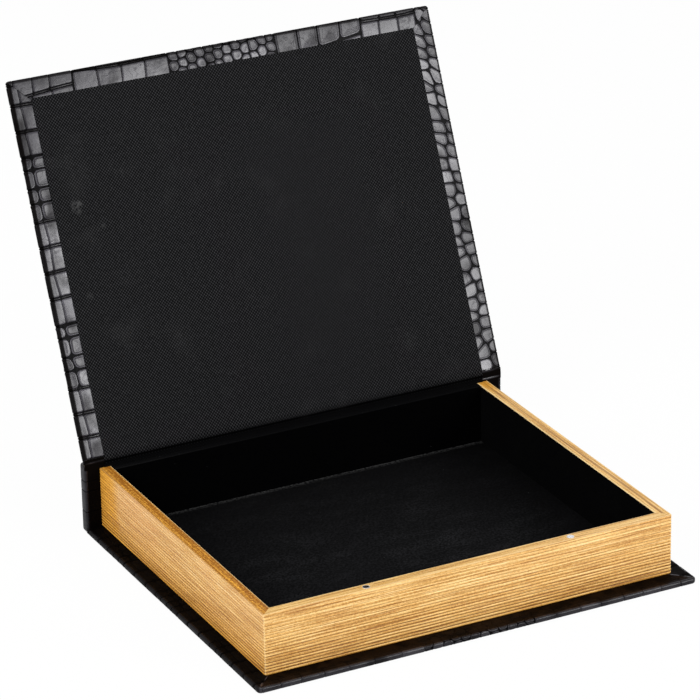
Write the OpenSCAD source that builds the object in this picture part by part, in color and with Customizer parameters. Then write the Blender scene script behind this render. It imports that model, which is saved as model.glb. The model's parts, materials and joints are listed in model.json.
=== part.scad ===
// Book box: a leather-covered case of three boards around a tray whose three outer walls
// are ribbed and gilded like the edges of a book block. The lid stands open against its stop.
// Millimetres. X runs along the spine, Y from the fore-edge to the spine, Z up.
// The origin is the centre of the underside.

/* [Tray] */
// Width across the outside of the gilt walls
tray_w = 240; // [160:1:360]
// Depth from the fore-edge face to the back of the tray
tray_d = 202; // [140:1:300]
// Height of the gilt walls
tray_h = 34.5; // [20:0.5:90]
// Thickness of the three gilt walls
wall_t = 6.6; // [5:0.1:12]
// Thickness of the plain back wall
back_wall_t = 5.3; // [3:0.1:12]
// How far the tray walls stand on the leather turned in over the base board
tuck = 4; // [1:0.5:4.5]

/* [Page edges] */
// Height of one page rib before it is fitted to the wall
rib_pitch = 1.72; // [1.2:0.02:4]
// Depth of the grooves between the ribs
rib_depth = 0.36; // [0.15:0.01:0.4]
// Radius on the upright corners of the tray
corner_r = 1.2; // [0.6:0.1:3]

/* [Linings] */
// Thickness of the velvet on the tray walls
lining_t = 0.4; // [0.3:0.1:1.5]
// Thickness of the velvet-covered card on the tray floor
floor_lining_t = 0.9; // [0.4:0.1:3]
// How far the velvet stops below the tops of the gilt walls
lining_drop = 0.5; // [0.2:0.1:3]
// Thickness of the cloth on the lid and over the hinge
cloth_t = 0.4; // [0.3:0.1:1]

/* [Case] */
// Thickness of the base board and the lid board
board_t = 2; // [1.6:0.1:5]
// Thickness of the spine board
spine_board_t = 5; // [2:0.1:8]
// Thickness of the leather
leather_t = 0.6; // [0.4:0.1:1.2]
// How far the case stands out beyond the tray at the head and tail
side_margin = 9; // [4:0.5:20]
// How far the case stands out beyond the tray at the fore-edge
front_margin = 11; // [4:0.5:20]
// Radius on the two outer corners of a covered board
cover_corner_r = 1.8; // [1.4:0.1:4]
// Radius on the long edges of a covered board
edge_r = 1; // [0.7:0.1:1.3]
// Height of the covered spine above the tops of the gilt walls
spine_rise = 3.2; // [1.5:0.1:5]

/* [Lid inside] */
// Width of leather left showing at the head and tail of the lid
border_side = 12; // [6:0.1:20]
// Width of leather left showing at the fore-edge of the lid
border_front = 11.2; // [6:0.1:20]
// How far the cloth laps over the turned-in leather
cloth_lap = 3; // [1:0.1:6]
// Width of the seam where two turned-in edges meet at a corner
mitre_gap = 0.3; // [0.2:0.05:0.6]
// Depth of that seam
mitre_depth = 0.3; // [0.1:0.05:0.35]

/* [Hinge] */
// Gap between the spine and the back edge of the closed lid
joint_gap = 4.2; // [3:0.1:8]
// Distance of the hinge line in front of the spine board
hinge_in = 0.4; // [0.2:0.1:1]
// Height of the hinge line above the tops of the gilt walls
hinge_up = 2.2; // [1.5:0.1:4]
// Angle from closed to the open stop
open_angle = 113.5; // [90:0.5:120]
// Clearance between the tray and the cloth of the closed lid
close_gap = 0.3; // [0.1:0.05:1]
// How far the leather over the joint stops short of the head and tail
hinge_inset = 0.8; // [0.3:0.1:2]
// Clearance between the pieces over the joint and the back edge of the lid
hinge_fit = 0.05; // [0.02:0.01:0.2]

/* [Magnets] */
// Diameter of the disc magnets
magnet_d = 4; // [3:0.5:4.5]
// Thickness of the magnets in the fore-edge wall
magnet_t = 3; // [1.5:0.5:6]
// Thickness of the magnets hidden in the lid
lid_magnet_t = 1.2; // [0.8:0.1:1.2]
// Distance of each magnet from the middle of the fore-edge
magnet_x = 60; // [20:1:75]
// Clearance round a magnet in its bore
magnet_fit = 0.05; // [0.02:0.01:0.2]
// Bevel on the rim of a magnet
magnet_bevel = 0.25; // [0.1:0.05:0.4]

/* [Hidden] */
$fn = 48;

// Extra reach of a cutting shape
cut = 1;
// Gap where leather ends beside a rib
leather_fit = 0.1;
// How far the round of an upright corner stands off the faces beside it
corner_break = 0.1;

// The covered board, and the case in plan
cover_t = board_t + 2 * leather_t;
case_w = tray_w + 2 * side_margin;
case_d = front_margin + tray_d + spine_board_t + leather_t;
case_front = -case_d / 2;
tray_front = case_front + front_margin;
spine_in = tray_front + tray_d;
spine_out = spine_in + spine_board_t;

// Heights
board_top = leather_t + board_t;
tray_z = cover_t;
tray_top = tray_z + tray_h;
spine_top = tray_top + spine_rise;

// The page ribs, fitted so that a whole number fills the wall, each an arc of radius rib_r
rib_count = max(1, round(tray_h / rib_pitch));
rib_step = tray_h / rib_count;
rib_r = rib_depth / 2 + rib_step * rib_step / (8 * rib_depth);
corner_set = corner_r - corner_break;

// Inside of the tray
inner_x = tray_w / 2 - wall_t;
inner_front = tray_front + wall_t;
inner_back = spine_in - back_wall_t;

// The closed lid
lid_z = tray_top + close_gap + cloth_t;
lid_back = spine_in - joint_gap;
lid_turn_side = border_side + cloth_lap;
lid_turn_front = border_front + cloth_lap;
cloth_x = case_w / 2 - border_side;
magnet_y = tray_front + wall_t / 2;

// The hinge line, and the lid's inner back edge turned to the open stop
hinge_y = spine_in - hinge_in;
hinge_z = tray_top + hinge_up;
function opened(y, z) = [
    hinge_y + (y - hinge_y) * cos(open_angle) + (z - hinge_z) * sin(open_angle),
    hinge_z - (y - hinge_y) * sin(open_angle) + (z - hinge_z) * cos(open_angle)
];
lid_meet = lid_back + hinge_fit;
lid_edge = opened(lid_meet, lid_z);
lid_edge_leather = opened(lid_meet, lid_z + leather_t);
lid_edge_cloth = opened(lid_meet, lid_z - cloth_t);

leather_colour = "#1d1c1f";
board_colour = "#8b7f6c";
gilt_colour = "#d9a560";
velvet_colour = "#0d0d0e";
cloth_colour = "#17171a";
metal_colour = "#c9ccd0";

// Placing: a section drawn in Y and Z is drawn out along X, or one in X and Z along Y

module along_x(from, to) {
    translate([from, 0, 0]) rotate([90, 0, 90]) linear_extrude(to - from) children();
}

module along_y(from, to) {
    translate([0, to, 0]) rotate([90, 0, 0]) linear_extrude(to - from) children();
}

module at_open_stop() {
    translate([0, hinge_y, hinge_z])
        rotate([-open_angle, 0, 0])
            translate([0, -hinge_y, -hinge_z]) children();
}

// Rectangle whose chosen corners are rounded, each given as [x side, y side]

module eased(x0, x1, y0, y1, r, corners) {
    difference() {
        translate([x0, y0]) square([x1 - x0, y1 - y0]);
        for (c = corners) {
            x = c[0] < 0 ? x0 : x1;
            y = c[1] < 0 ? y0 : y1;
            translate([x, y]) scale([-c[0], -c[1]]) difference() {
                translate([-cut, -cut]) square(r + cut);
                translate([r, r]) circle(r);
            }
        }
    }
}

// A covered board: rounded along three edges and square where it meets the spine

module covered_slab(back, z) {
    intersection() {
        along_y(case_front, back)
            eased(-case_w / 2, case_w / 2, z, z + cover_t, edge_r,
                  [[-1, -1], [1, -1], [-1, 1], [1, 1]]);
        along_x(-case_w / 2 - cut, case_w / 2 + cut)
            eased(case_front, back + cut, z, z + cover_t, edge_r, [[-1, -1], [-1, 1]]);
        translate([0, 0, z - cut]) linear_extrude(cover_t + 2 * cut)
            eased(-case_w / 2, case_w / 2, case_front, back + cut, cover_corner_r,
                  [[-1, -1], [1, -1]]);
    }
}

module board_slab(back, z) {
    translate([0, 0, z]) linear_extrude(board_t)
        eased(-case_w / 2 + leather_t, case_w / 2 - leather_t, case_front + leather_t, back,
              cover_corner_r - leather_t, [[-1, -1], [1, -1]]);
}

// Seams at 45 degrees where the turned-in leather of two edges meets at a fore-edge corner

module mitre_seams(z, turn_side) {
    for (side = [-1, 1])
        translate([side * (case_w / 2 - cover_corner_r), case_front + cover_corner_r, z])
            rotate([0, 0, side < 0 ? 45 : 135])
                translate([0, -mitre_gap / 2, 0])
                    cube([sqrt(2) * (turn_side + cut), mitre_gap, mitre_depth + cut]);
}

module base_board() {
    color(board_colour) board_slab(spine_in, leather_t);
}

module base_leather() {
    color(leather_colour) difference() {
        covered_slab(spine_in, 0);
        board_slab(spine_in + cut, leather_t);
        translate([-tray_w / 2 + tuck, tray_front + tuck, leather_t + board_t / 2])
            cube([tray_w - 2 * tuck, tray_d, board_t + leather_t]);
        mitre_seams(tray_z - mitre_depth, side_margin);
    }
}

module spine_board() {
    color(board_colour)
        translate([-case_w / 2 + leather_t, spine_in, leather_t])
            cube([case_w - 2 * leather_t, spine_board_t, spine_top - 2 * leather_t]);
}

module spine_leather() {
    color(leather_colour) difference() {
        intersection() {
            linear_extrude(spine_top)
                eased(-case_w / 2, case_w / 2, spine_in - leather_t, spine_out + leather_t, edge_r,
                      [[-1, -1], [1, -1], [-1, 1], [1, 1]]);
            along_x(-case_w / 2 - cut, case_w / 2 + cut)
                eased(spine_in - leather_t - cut, spine_out + leather_t, 0, spine_top, edge_r,
                      [[1, -1], [1, 1]]);
        }
        spine_board();
        translate([-case_w / 2 - cut, spine_in - leather_t - cut, -cut])
            cube([case_w + 2 * cut, leather_t + cut, tray_z + cut]);
        translate([-case_w / 2 - cut, spine_in - leather_t - cut, tray_top])
            cube([case_w + 2 * cut, leather_t + cut, spine_rise + cut]);
        translate([-tray_w / 2 - leather_fit, spine_in - leather_t - cut, 0])
            cube([tray_w + 2 * leather_fit, leather_t + cut, spine_top]);
    }
}

// Section of a gilt wall: a plain core behind a stack of rounded page ribs

module page_section() {
    intersection() {
        translate([-cut, 0]) square([wall_t + cut, tray_h]);
        union() {
            translate([rib_depth, 0]) square([wall_t - rib_depth, tray_h]);
            for (i = [0:rib_count - 1])
                translate([rib_r, (i + 0.5) * rib_step]) circle(rib_r);
        }
    }
}

// What is taken off the upright corner of the tray, shaped for the left front corner

module corner_easing() {
    translate([-tray_w / 2, tray_front, tray_z - cut]) linear_extrude(tray_h + 2 * cut)
        difference() {
            translate([-cut, -cut]) square(corner_set + cut);
            translate([corner_set, corner_set]) circle(corner_r);
        }
}

module front_wall() {
    reach = tray_w / 2 + cut;
    color(gilt_colour) difference() {
        intersection() {
            translate([0, tray_front, tray_z]) along_x(-reach, reach) page_section();
            translate([0, tray_front, tray_z - cut]) linear_extrude(tray_h + 2 * cut)
                polygon([[-reach, -cut], [reach, -cut],
                         [inner_x - cut, wall_t + cut], [-inner_x + cut, wall_t + cut]]);
        }
        corner_easing();
        mirror([1, 0, 0]) corner_easing();
        for (side = [-1, 1])
            translate([side * magnet_x, magnet_y, tray_top - magnet_t])
                cylinder(h = magnet_t + cut, r = magnet_d / 2 + magnet_fit);
    }
}

module side_wall() {
    difference() {
        intersection() {
            translate([-tray_w / 2, 0, tray_z]) along_y(tray_front - cut, spine_in) page_section();
            translate([-tray_w / 2, tray_front, tray_z - cut]) linear_extrude(tray_h + 2 * cut)
                polygon([[-cut, -cut], [wall_t + cut, wall_t + cut],
                         [wall_t + cut, tray_d + cut], [-cut, tray_d + cut]]);
        }
        corner_easing();
    }
}

module left_wall() {
    color(gilt_colour) side_wall();
}

module right_wall() {
    color(gilt_colour) mirror([1, 0, 0]) side_wall();
}

module back_wall() {
    color(velvet_colour)
        translate([-inner_x, inner_back, tray_z])
            cube([2 * inner_x, back_wall_t, tray_h - cloth_t]);
}

// Card that fills the base board level with the turned-in leather, under the whole tray

module tray_floor() {
    color(board_colour)
        translate([-tray_w / 2 + tuck, tray_front + tuck, board_top])
            cube([tray_w - 2 * tuck, tray_d - tuck, leather_t]);
}

module floor_lining() {
    color(velvet_colour)
        translate([-inner_x + lining_t, inner_front + lining_t, tray_z])
            cube([2 * (inner_x - lining_t), inner_back - inner_front - 2 * lining_t, floor_lining_t]);
}

module front_lining() {
    color(velvet_colour)
        translate([-inner_x, inner_front, tray_z])
            cube([2 * inner_x, lining_t, tray_h - lining_drop]);
}

module back_lining() {
    color(velvet_colour)
        translate([-inner_x, inner_back - lining_t, tray_z])
            cube([2 * inner_x, lining_t, tray_h - cloth_t]);
}

module side_lining() {
    translate([-inner_x, inner_front + lining_t, tray_z])
        cube([lining_t, inner_back - inner_front - 2 * lining_t, tray_h - lining_drop]);
}

module left_lining() {
    color(velvet_colour) side_lining();
}

module right_lining() {
    color(velvet_colour) mirror([1, 0, 0]) side_lining();
}

// The leather that crosses the joint, from the tray's top edge to the open lid's back edge

module hinge_leather() {
    front = spine_in - leather_t;
    color(leather_colour) along_x(-case_w / 2 + hinge_inset, case_w / 2 - hinge_inset)
        polygon([[front, tray_top], [spine_in, tray_top], [spine_in, spine_top],
                 lid_edge_leather, lid_edge, [front, spine_top]]);
}

// The cloth over the top of the back wall, which rises in front of that leather to the lid

module hinge_lining() {
    back = spine_in - leather_t;
    color(cloth_colour) union() {
        translate([-inner_x, inner_back - lining_t, tray_top - cloth_t])
            cube([2 * inner_x, back_wall_t + lining_t, cloth_t]);
        along_x(-cloth_x, cloth_x)
            polygon([[back - cloth_t, tray_top], [back, tray_top], [back, spine_top],
                     lid_edge, lid_edge_cloth, [back - cloth_t, spine_top]]);
    }
}

// The lid's pieces are drawn on the closed box, then turned to the open stop

module lid_magnet_pocket(side, room) {
    translate([side * magnet_x, magnet_y, lid_z + leather_t - room])
        cylinder(h = lid_magnet_t + room, r = magnet_d / 2 + (room > 0 ? magnet_fit : 0));
}

module lid_board() {
    color(board_colour) at_open_stop() difference() {
        board_slab(lid_back - leather_t, lid_z + leather_t);
        for (side = [-1, 1])
            lid_magnet_pocket(side, cut);
    }
}

module lid_leather() {
    window_x = case_w / 2 - lid_turn_side;
    window_front = case_front + lid_turn_front;
    color(leather_colour) at_open_stop() difference() {
        covered_slab(lid_back, lid_z);
        board_slab(lid_back - leather_t, lid_z + leather_t);
        translate([-window_x, window_front, lid_z - cut])
            cube([2 * window_x, lid_back - leather_t - window_front, leather_t + cut + board_t / 2]);
        translate([0, 0, -cut]) mitre_seams(lid_z, border_side);
    }
}

module lid_card() {
    window_x = case_w / 2 - lid_turn_side;
    window_front = case_front + lid_turn_front;
    color(board_colour) at_open_stop()
        translate([-window_x, window_front, lid_z])
            cube([2 * window_x, lid_back - leather_t - window_front, leather_t]);
}

module lid_lining() {
    color(cloth_colour) at_open_stop()
        translate([-cloth_x, case_front + border_front, lid_z - cloth_t])
            cube([2 * cloth_x, lid_back - case_front - border_front, cloth_t]);
}

// A disc magnet with a bevelled rim on its outer face

module disc_magnet(thickness) {
    cylinder(h = thickness - magnet_bevel, r = magnet_d / 2);
    translate([0, 0, thickness - magnet_bevel])
        cylinder(h = magnet_bevel, r1 = magnet_d / 2, r2 = magnet_d / 2 - magnet_bevel);
}

module tray_magnet(side) {
    color(metal_colour)
        translate([side * magnet_x, magnet_y, tray_top - magnet_t]) disc_magnet(magnet_t);
}

module tray_magnet_left() {
    tray_magnet(-1);
}

module tray_magnet_right() {
    tray_magnet(1);
}

module lid_magnet_left() {
    color(metal_colour) at_open_stop() lid_magnet_pocket(-1, 0);
}

module lid_magnet_right() {
    color(metal_colour) at_open_stop() lid_magnet_pocket(1, 0);
}

base_board();
spine_board();
lid_board();
base_leather();
spine_leather();
lid_leather();
hinge_leather();
tray_floor();
front_wall();
left_wall();
right_wall();
back_wall();
floor_lining();
front_lining();
left_lining();
right_lining();
back_lining();
hinge_lining();
lid_card();
lid_lining();
tray_magnet_left();
tray_magnet_right();
lid_magnet_left();
lid_magnet_right();
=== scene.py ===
# %% [markdown]
# A book box: a leather-covered case of three boards round a tray whose walls look like
# gilded page edges. The case is one sheet of leather with a pressed crocodile grain. This
# notebook dresses the box in the order in which a maker would build it: the stage and the
# camera come first, then the finishes, the gilt walls, the linings and the leather.

# %% Load the frame
import json
import math
import random

import bmesh
import bpy
import numpy as np
from mathutils import Matrix, Vector


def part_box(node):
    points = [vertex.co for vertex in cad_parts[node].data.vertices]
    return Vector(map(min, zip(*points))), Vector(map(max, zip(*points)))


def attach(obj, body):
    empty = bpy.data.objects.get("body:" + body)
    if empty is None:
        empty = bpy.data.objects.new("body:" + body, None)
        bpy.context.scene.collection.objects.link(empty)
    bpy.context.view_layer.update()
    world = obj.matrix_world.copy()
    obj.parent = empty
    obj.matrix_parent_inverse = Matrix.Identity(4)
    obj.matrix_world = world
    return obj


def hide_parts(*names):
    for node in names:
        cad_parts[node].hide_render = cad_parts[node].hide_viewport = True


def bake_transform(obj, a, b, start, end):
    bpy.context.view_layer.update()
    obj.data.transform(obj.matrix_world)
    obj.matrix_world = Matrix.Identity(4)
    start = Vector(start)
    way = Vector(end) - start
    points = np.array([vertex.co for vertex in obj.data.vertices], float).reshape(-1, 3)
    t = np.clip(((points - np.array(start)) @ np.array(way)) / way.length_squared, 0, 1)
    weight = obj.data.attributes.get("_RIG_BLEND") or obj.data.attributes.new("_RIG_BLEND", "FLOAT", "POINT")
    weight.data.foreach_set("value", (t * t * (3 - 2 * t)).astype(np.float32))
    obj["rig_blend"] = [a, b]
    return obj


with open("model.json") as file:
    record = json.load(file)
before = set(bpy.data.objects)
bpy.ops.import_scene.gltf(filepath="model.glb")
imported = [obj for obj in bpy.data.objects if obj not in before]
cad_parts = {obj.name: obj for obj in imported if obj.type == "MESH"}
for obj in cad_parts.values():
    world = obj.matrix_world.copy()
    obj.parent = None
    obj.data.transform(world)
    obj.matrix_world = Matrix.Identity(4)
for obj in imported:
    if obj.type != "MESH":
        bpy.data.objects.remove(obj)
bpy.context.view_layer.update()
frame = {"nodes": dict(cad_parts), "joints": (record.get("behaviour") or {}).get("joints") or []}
# the frame is in metres, and the shapes below are drawn in millimetres
MM = 0.001

# %% [markdown]
# The camera stands to the left of the box and looks down at it through a long lens. A long
# lens keeps the edges of the box nearly parallel. Its place is a heading, a height angle and
# a roll, which are easier to read and to correct than a matrix.

# %% Camera
PHOTO_WIDTH = 700
FOCAL_PIXELS = 4191.12
SENSOR_WIDTH = 36
FARTHEST_SEEN = 50
HEADING, RAISE, ROLL = (math.radians(degrees) for degrees in (-26.8, 23.3, -1.07))
CAMERA_PLACE = Vector((-0.9280, -1.8001, 0.9932))


def new_object(name, data):
    """An object in the scene for a mesh, a lamp or a camera."""
    made = bpy.data.objects.new(name, data)
    bpy.context.scene.collection.objects.link(made)
    return made


def camera_axes(heading, raise_angle, roll):
    """The camera's right, up and backward directions."""
    level = math.cos(raise_angle)
    back = Vector((math.sin(heading) * level, -math.cos(heading) * level, math.sin(raise_angle)))
    right = (-back).cross(Vector((0, 0, 1))).normalized()
    up = right.cross(-back)
    turned_right = right * math.cos(roll) + up * math.sin(roll)
    turned_up = up * math.cos(roll) - right * math.sin(roll)
    return turned_right, turned_up, back


camera_data = bpy.data.cameras.new("camera")
camera_data.sensor_width = SENSOR_WIDTH
camera_data.lens = FOCAL_PIXELS * SENSOR_WIDTH / PHOTO_WIDTH
camera_data.clip_end = FARTHEST_SEEN
camera = new_object("camera", camera_data)
bpy.context.scene.camera = camera
turn = Matrix(camera_axes(HEADING, RAISE, ROLL)).transposed().to_4x4()
camera.matrix_world = Matrix.Translation(CAMERA_PLACE) @ turn
print("lens in millimetres:", round(camera_data.lens, 1))

# %% [markdown]
# Every finish is a small sum over the surface: noise times a strength plus a base value. The
# class below wraps one output socket of a node, so that such a sum can be written as plain
# arithmetic. The same class serves the trees that make shapes.

# %% Sockets as numbers
class Wire:
    """One output socket in a node tree. Arithmetic on it adds Math nodes to that tree."""

    def __init__(self, tree, socket=None):
        self.tree = tree
        self.socket = socket

    def node(self, kind, settings=None, inputs=None, out=0):
        """Adds a node: first its settings, then the values or wires of its inputs."""
        made = self.tree.nodes.new(kind)
        for name, value in (settings or {}).items():
            if name == "stops":
                set_stops(made.color_ramp, value)
            else:
                setattr(made, name, value)
        for key, value in (inputs or {}).items():
            if isinstance(value, Wire):
                self.tree.links.new(value.socket, made.inputs[key])
            else:
                made.inputs[key].default_value = value
        return Wire(self.tree, made.outputs[out] if made.outputs else None)

    def other(self, out):
        """Another output of the node that this wire comes from."""
        return Wire(self.tree, self.socket.node.outputs[out])

    def maths(self, operation, *others):
        """A Math node on this value and the others, such as SINE or MINIMUM."""
        return self.node("ShaderNodeMath", {"operation": operation},
                         dict(enumerate((self, *others))))

    def __add__(self, other):
        return self.maths("ADD", other)

    __radd__ = __add__

    def __sub__(self, other):
        return self.maths("SUBTRACT", other)

    def __rsub__(self, other):
        return self.node("ShaderNodeMath", {"operation": "SUBTRACT"}, {0: other, 1: self})

    def __mul__(self, other):
        return self.maths("MULTIPLY", other)

    __rmul__ = __mul__

    def __truediv__(self, other):
        return self.maths("DIVIDE", other)

    def ramp(self, low, high):
        """0 at low, 1 at high, and a soft step between."""
        return self.node("ShaderNodeMapRange", {"interpolation_type": "SMOOTHSTEP"},
                         {"Value": self, "From Min": low, "From Max": high})

    def vector(self, operation, *values):
        """A Vector Math node on values that may be wires or plain vectors."""
        return self.node("ShaderNodeVectorMath", {"operation": operation}, dict(enumerate(values)))


def set_stops(ramp, stops):
    """Gives a colour ramp its stops: a place from 0 to 1 and a colour for each."""
    while len(ramp.elements) < len(stops):
        ramp.elements.new(1)
    for element, (place, colour) in zip(ramp.elements, stops):
        element.position = place
        element.color = (*colour, 1)


def least(a, b):
    """The smaller of two values."""
    return a.maths("MINIMUM", b)


def most(a, b):
    """The larger of two values."""
    return a.maths("MAXIMUM", b)


# %% Helpers for finishes
def new_material(name):
    """A material with an empty tree, and a wire to start that tree from."""
    material = bpy.data.materials.new(name)
    material.use_nodes = True
    material.node_tree.nodes.clear()
    return material, Wire(material.node_tree)


def surface(wire, **inputs):
    """A Principled shader with its sockets as given."""
    named = {key.replace("_", " "): value for key, value in inputs.items()}
    return wire.node("ShaderNodeBsdfPrincipled", inputs=named)


def finish_surface(wire, **inputs):
    """Ends a material's tree in one Principled shader."""
    wire.node("ShaderNodeOutputMaterial", inputs={"Surface": surface(wire, **inputs)})


def object_place(wire):
    """Where a point lies on its piece, in metres."""
    return wire.node("ShaderNodeTexCoord", out="Object")


def stored(wire, name, out="Fac"):
    """A number that the piece carries for each point, or a vector with out="Vector"."""
    return wire.node("ShaderNodeAttribute", {"attribute_name": name}, out=out)


def noise(wire, vector, scale, detail=2.0, roughness=0.5):
    """Clouds of values about 0.5; a larger scale makes them smaller."""
    return wire.node("ShaderNodeTexNoise", inputs={
        "Vector": vector, "Scale": scale, "Detail": detail, "Roughness": roughness})


def mix_colour(wire, share, first, second):
    """The first colour where share is 0, the second where it is 1."""
    mixed = wire.node("ShaderNodeMix", {"data_type": "RGBA"}, {0: share}, out=2)
    for index, value in ((6, first), (7, second)):
        socket = mixed.socket.node.inputs[index]
        if isinstance(value, Wire):
            wire.tree.links.new(value.socket, socket)
        else:
            socket.default_value = (*value, 1)
    return mixed


def bump(wire, height, distance, strength=1.0, over=None):
    """Relief from a height; over is the relief that it lies on."""
    inputs = {"Height": height, "Distance": distance, "Strength": strength}
    if over:
        inputs["Normal"] = over
    return wire.node("ShaderNodeBump", inputs=inputs)


# %% [markdown]
# The stage is a pale floor under a white sky, with three soft panels. Most of the light comes
# from the sky, so that colours look as they are written. The panel in front, to the right, is
# what the open lid's glossy leather mirrors. The one at the left lights the gilt wall there,
# and a faint one hangs above. The floor is shown a little lighter than it is lit, by Light
# Path, and still carries the shadow of the box.

# %% Stage
bpy.context.scene.view_settings.view_transform = "Standard"
WHITE = (1, 1, 1, 1)
SKY_LIGHT = 0.45
FLOOR_SIZE = 12.0
FLOOR_GREY = 0.86
FLOOR_LIFT = 0.97
# how far the floor lies below the box, in metres, so that the two never share a plane
FLOOR_DROP = 0.0002


def shown_ray(wire):
    """1 for rays that the eye follows: straight, mirrored or through glass."""
    path = wire.node("ShaderNodeLightPath")
    seen = path.other("Is Camera Ray")
    for label in ("Is Glossy Ray", "Is Transmission Ray"):
        seen = most(seen, path.other(label))
    return seen


world = bpy.data.worlds.new("sky")
bpy.context.scene.world = world
world.use_nodes = True
world.node_tree.nodes.clear()
sky = Wire(world.node_tree)
strength = SKY_LIGHT + shown_ray(sky) * (1 - SKY_LIGHT)
background = sky.node("ShaderNodeBackground", inputs={"Color": WHITE, "Strength": strength})
sky.node("ShaderNodeOutputWorld", inputs={"Surface": background})

floor_material, wire = new_material("pale_floor")
paper = wire.node("ShaderNodeBsdfDiffuse", inputs={
    "Color": (FLOOR_GREY, FLOOR_GREY, FLOOR_GREY, 1)})
glow = wire.node("ShaderNodeEmission", inputs={"Color": WHITE, "Strength": 1.0})
lifted = wire.node("ShaderNodeMixShader", inputs={
    0: shown_ray(wire) * FLOOR_LIFT, 1: paper, 2: glow})
wire.node("ShaderNodeOutputMaterial", inputs={"Surface": lifted})

half = FLOOR_SIZE / 2
floor_mesh = bpy.data.meshes.new("floor")
floor_mesh.from_pydata([(-half, -half, 0), (half, -half, 0), (half, half, 0), (-half, half, 0)],
                       [], [(0, 1, 2, 3)])
floor_mesh.materials.append(floor_material)
floor = new_object("floor", floor_mesh)
floor.location.z = -FLOOR_DROP
print("floor:", FLOOR_SIZE, "m square, sky strength:", SKY_LIGHT)

# %% Soft panels
TARGET = Vector((0, 0, 0.08))


def soft_panel(name, direction, distance, width, height, brightness):
    """A panel that faces the box; brightness is what a mirror would show of it."""
    data = bpy.data.lights.new(name, "AREA")
    data.shape = "RECTANGLE"
    data.size, data.size_y = width, height
    data.energy = brightness * math.pi * width * height
    lamp = new_object(name, data)
    away = Vector(direction).normalized()
    lamp.matrix_world = (Matrix.Translation(TARGET + away * distance)
                         @ away.to_track_quat("Z", "Y").to_matrix().to_4x4())


# direction, distance, width and height in metres, and brightness of each panel
PANELS = {
    "front_panel": ((0.50, -0.80, 0.34), 1.7, 0.80, 0.80, 8.5),
    "left_panel": ((-0.85, -0.30, 0.60), 1.8, 0.9, 0.9, 7.6),
    "top_panel": ((0.1, 0.1, 1.0), 1.9, 1.2, 1.0, 1.6)}
for name, sizes in PANELS.items():
    soft_panel(name, *sizes)

# %% [markdown]
# The leather is black. Where the grain stands up it is glossy, and the pressed grooves and
# worn folds stay dull, so the material mixes a dull shader and a glossy one. The dull shader
# is also darker, so the grooves, the ring lines and the dented centres carry painted shade.
# The pieces carry what it needs: crown is 0 in a groove and 1 on a scale, polish says how
# glossy this part of the case has stayed, dent runs from 0 to 1 towards the pressed centre of
# a small scale, brown marks where a brown reflection of the gilt walls is painted on, and
# tone and lean give every scale a shade and a slight tilt of its own.

# %% Leather finish
GROOVE_BLACK, CROWN_BLACK = (0.0006, 0.0005, 0.0005), (0.0017, 0.0012, 0.0009)
# brown of the gilt walls' reflection, painted into the dull leather
GILT_REFLECTION_BROWN = (0.0090, 0.0045, 0.0021)
SCALE_DARK, SCALE_LIGHT = (0.012, 0.010, 0.018), (0.037, 0.033, 0.049)


def hairline(wire, place, scale, width):
    """A wandering line where a noise passes its middle value."""
    wander = noise(wire, place, scale, 2.0)
    return 1.0 - (wander - 0.5).maths("ABSOLUTE").ramp(width * 0.2, width)


def leather_finish():
    """Black leather, dull in the grooves and glossy on the scales."""
    material, wire = new_material("crocodile_leather")
    place = object_place(wire)
    crown, tone, polish, dent = (stored(wire, name) for name in ("crown", "tone", "polish", "dent"))
    pores = noise(wire, place, 2400.0, 3.0, 0.6)
    clouds = noise(wire, place, 75.0, 3.0, 0.55)
    creases = noise(wire, place, 300.0, 2.0, 0.6)
    wrinkle = hairline(wire, place, 130.0, 0.02) * clouds.ramp(0.42, 0.56)
    ring = 1.0 - (dent - 0.5).maths("ABSOLUTE").ramp(0.12, 0.34)
    slope = wire.node("ShaderNodeVectorMath", {"operation": "DOT_PRODUCT"},
                      {0: place, 1: stored(wire, "lean", "Vector")}, out=1)
    broad = bump(wire, slope + clouds * 0.0011, 1.0)
    relief = bump(wire, pores * 0.06 + creases * 0.22 - wrinkle * 0.4 - ring * 1.5,
                  0.00010, 0.6, broad)
    # painted shade: the grooves take the darker of the two blacks
    black = mix_colour(wire, crown, GROOVE_BLACK, CROWN_BLACK)
    gilt_reflection = stored(wire, "brown") * (0.25 + noise(wire, place, 150.0, 3.0).ramp(0.35, 0.70) * 0.95)
    dull = surface(wire, Base_Color=mix_colour(wire, gilt_reflection, black, GILT_REFLECTION_BROWN),
                   Roughness=0.6, Specular_IOR_Level=0.01, Normal=relief)
    shade = mix_colour(wire, clouds, SCALE_DARK, SCALE_LIGHT)
    rough = 0.34 + (tone - 0.5) * 0.14 + (creases - 0.5) * 0.15 + ring * 0.2 + wrinkle * 0.15
    glossy = surface(wire, Base_Color=shade, Roughness=rough, Specular_IOR_Level=0.5,
                     Coat_Weight=0.8, Coat_Roughness=0.26, Normal=relief)
    worn = noise(wire, place, 52.0, 1.0).ramp(0.56, 0.70)
    # painted shade: the gloss, and with it the glossy shader's lighter colour, falls away in the grooves,
    # the ring lines and the dented centres
    raised = 0.05 + crown.ramp(0.35, 0.95) * 0.95
    uneven = (0.58 + clouds * 0.9) * (0.8 + tone * 0.4)
    whole = (1.0 - dent * 0.28) * (1.0 - ring * 0.5) * (1.0 - wrinkle * 0.25) * (1.0 - worn * 0.6)
    gloss = raised * polish * uneven * whole
    mixed = wire.node("ShaderNodeMixShader", inputs={0: gloss, 1: dull, 2: glossy})
    wire.node("ShaderNodeOutputMaterial", inputs={"Surface": mixed})
    return material


leather = leather_finish()
print("leather finish:", len(leather.node_tree.nodes), "nodes")
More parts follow.
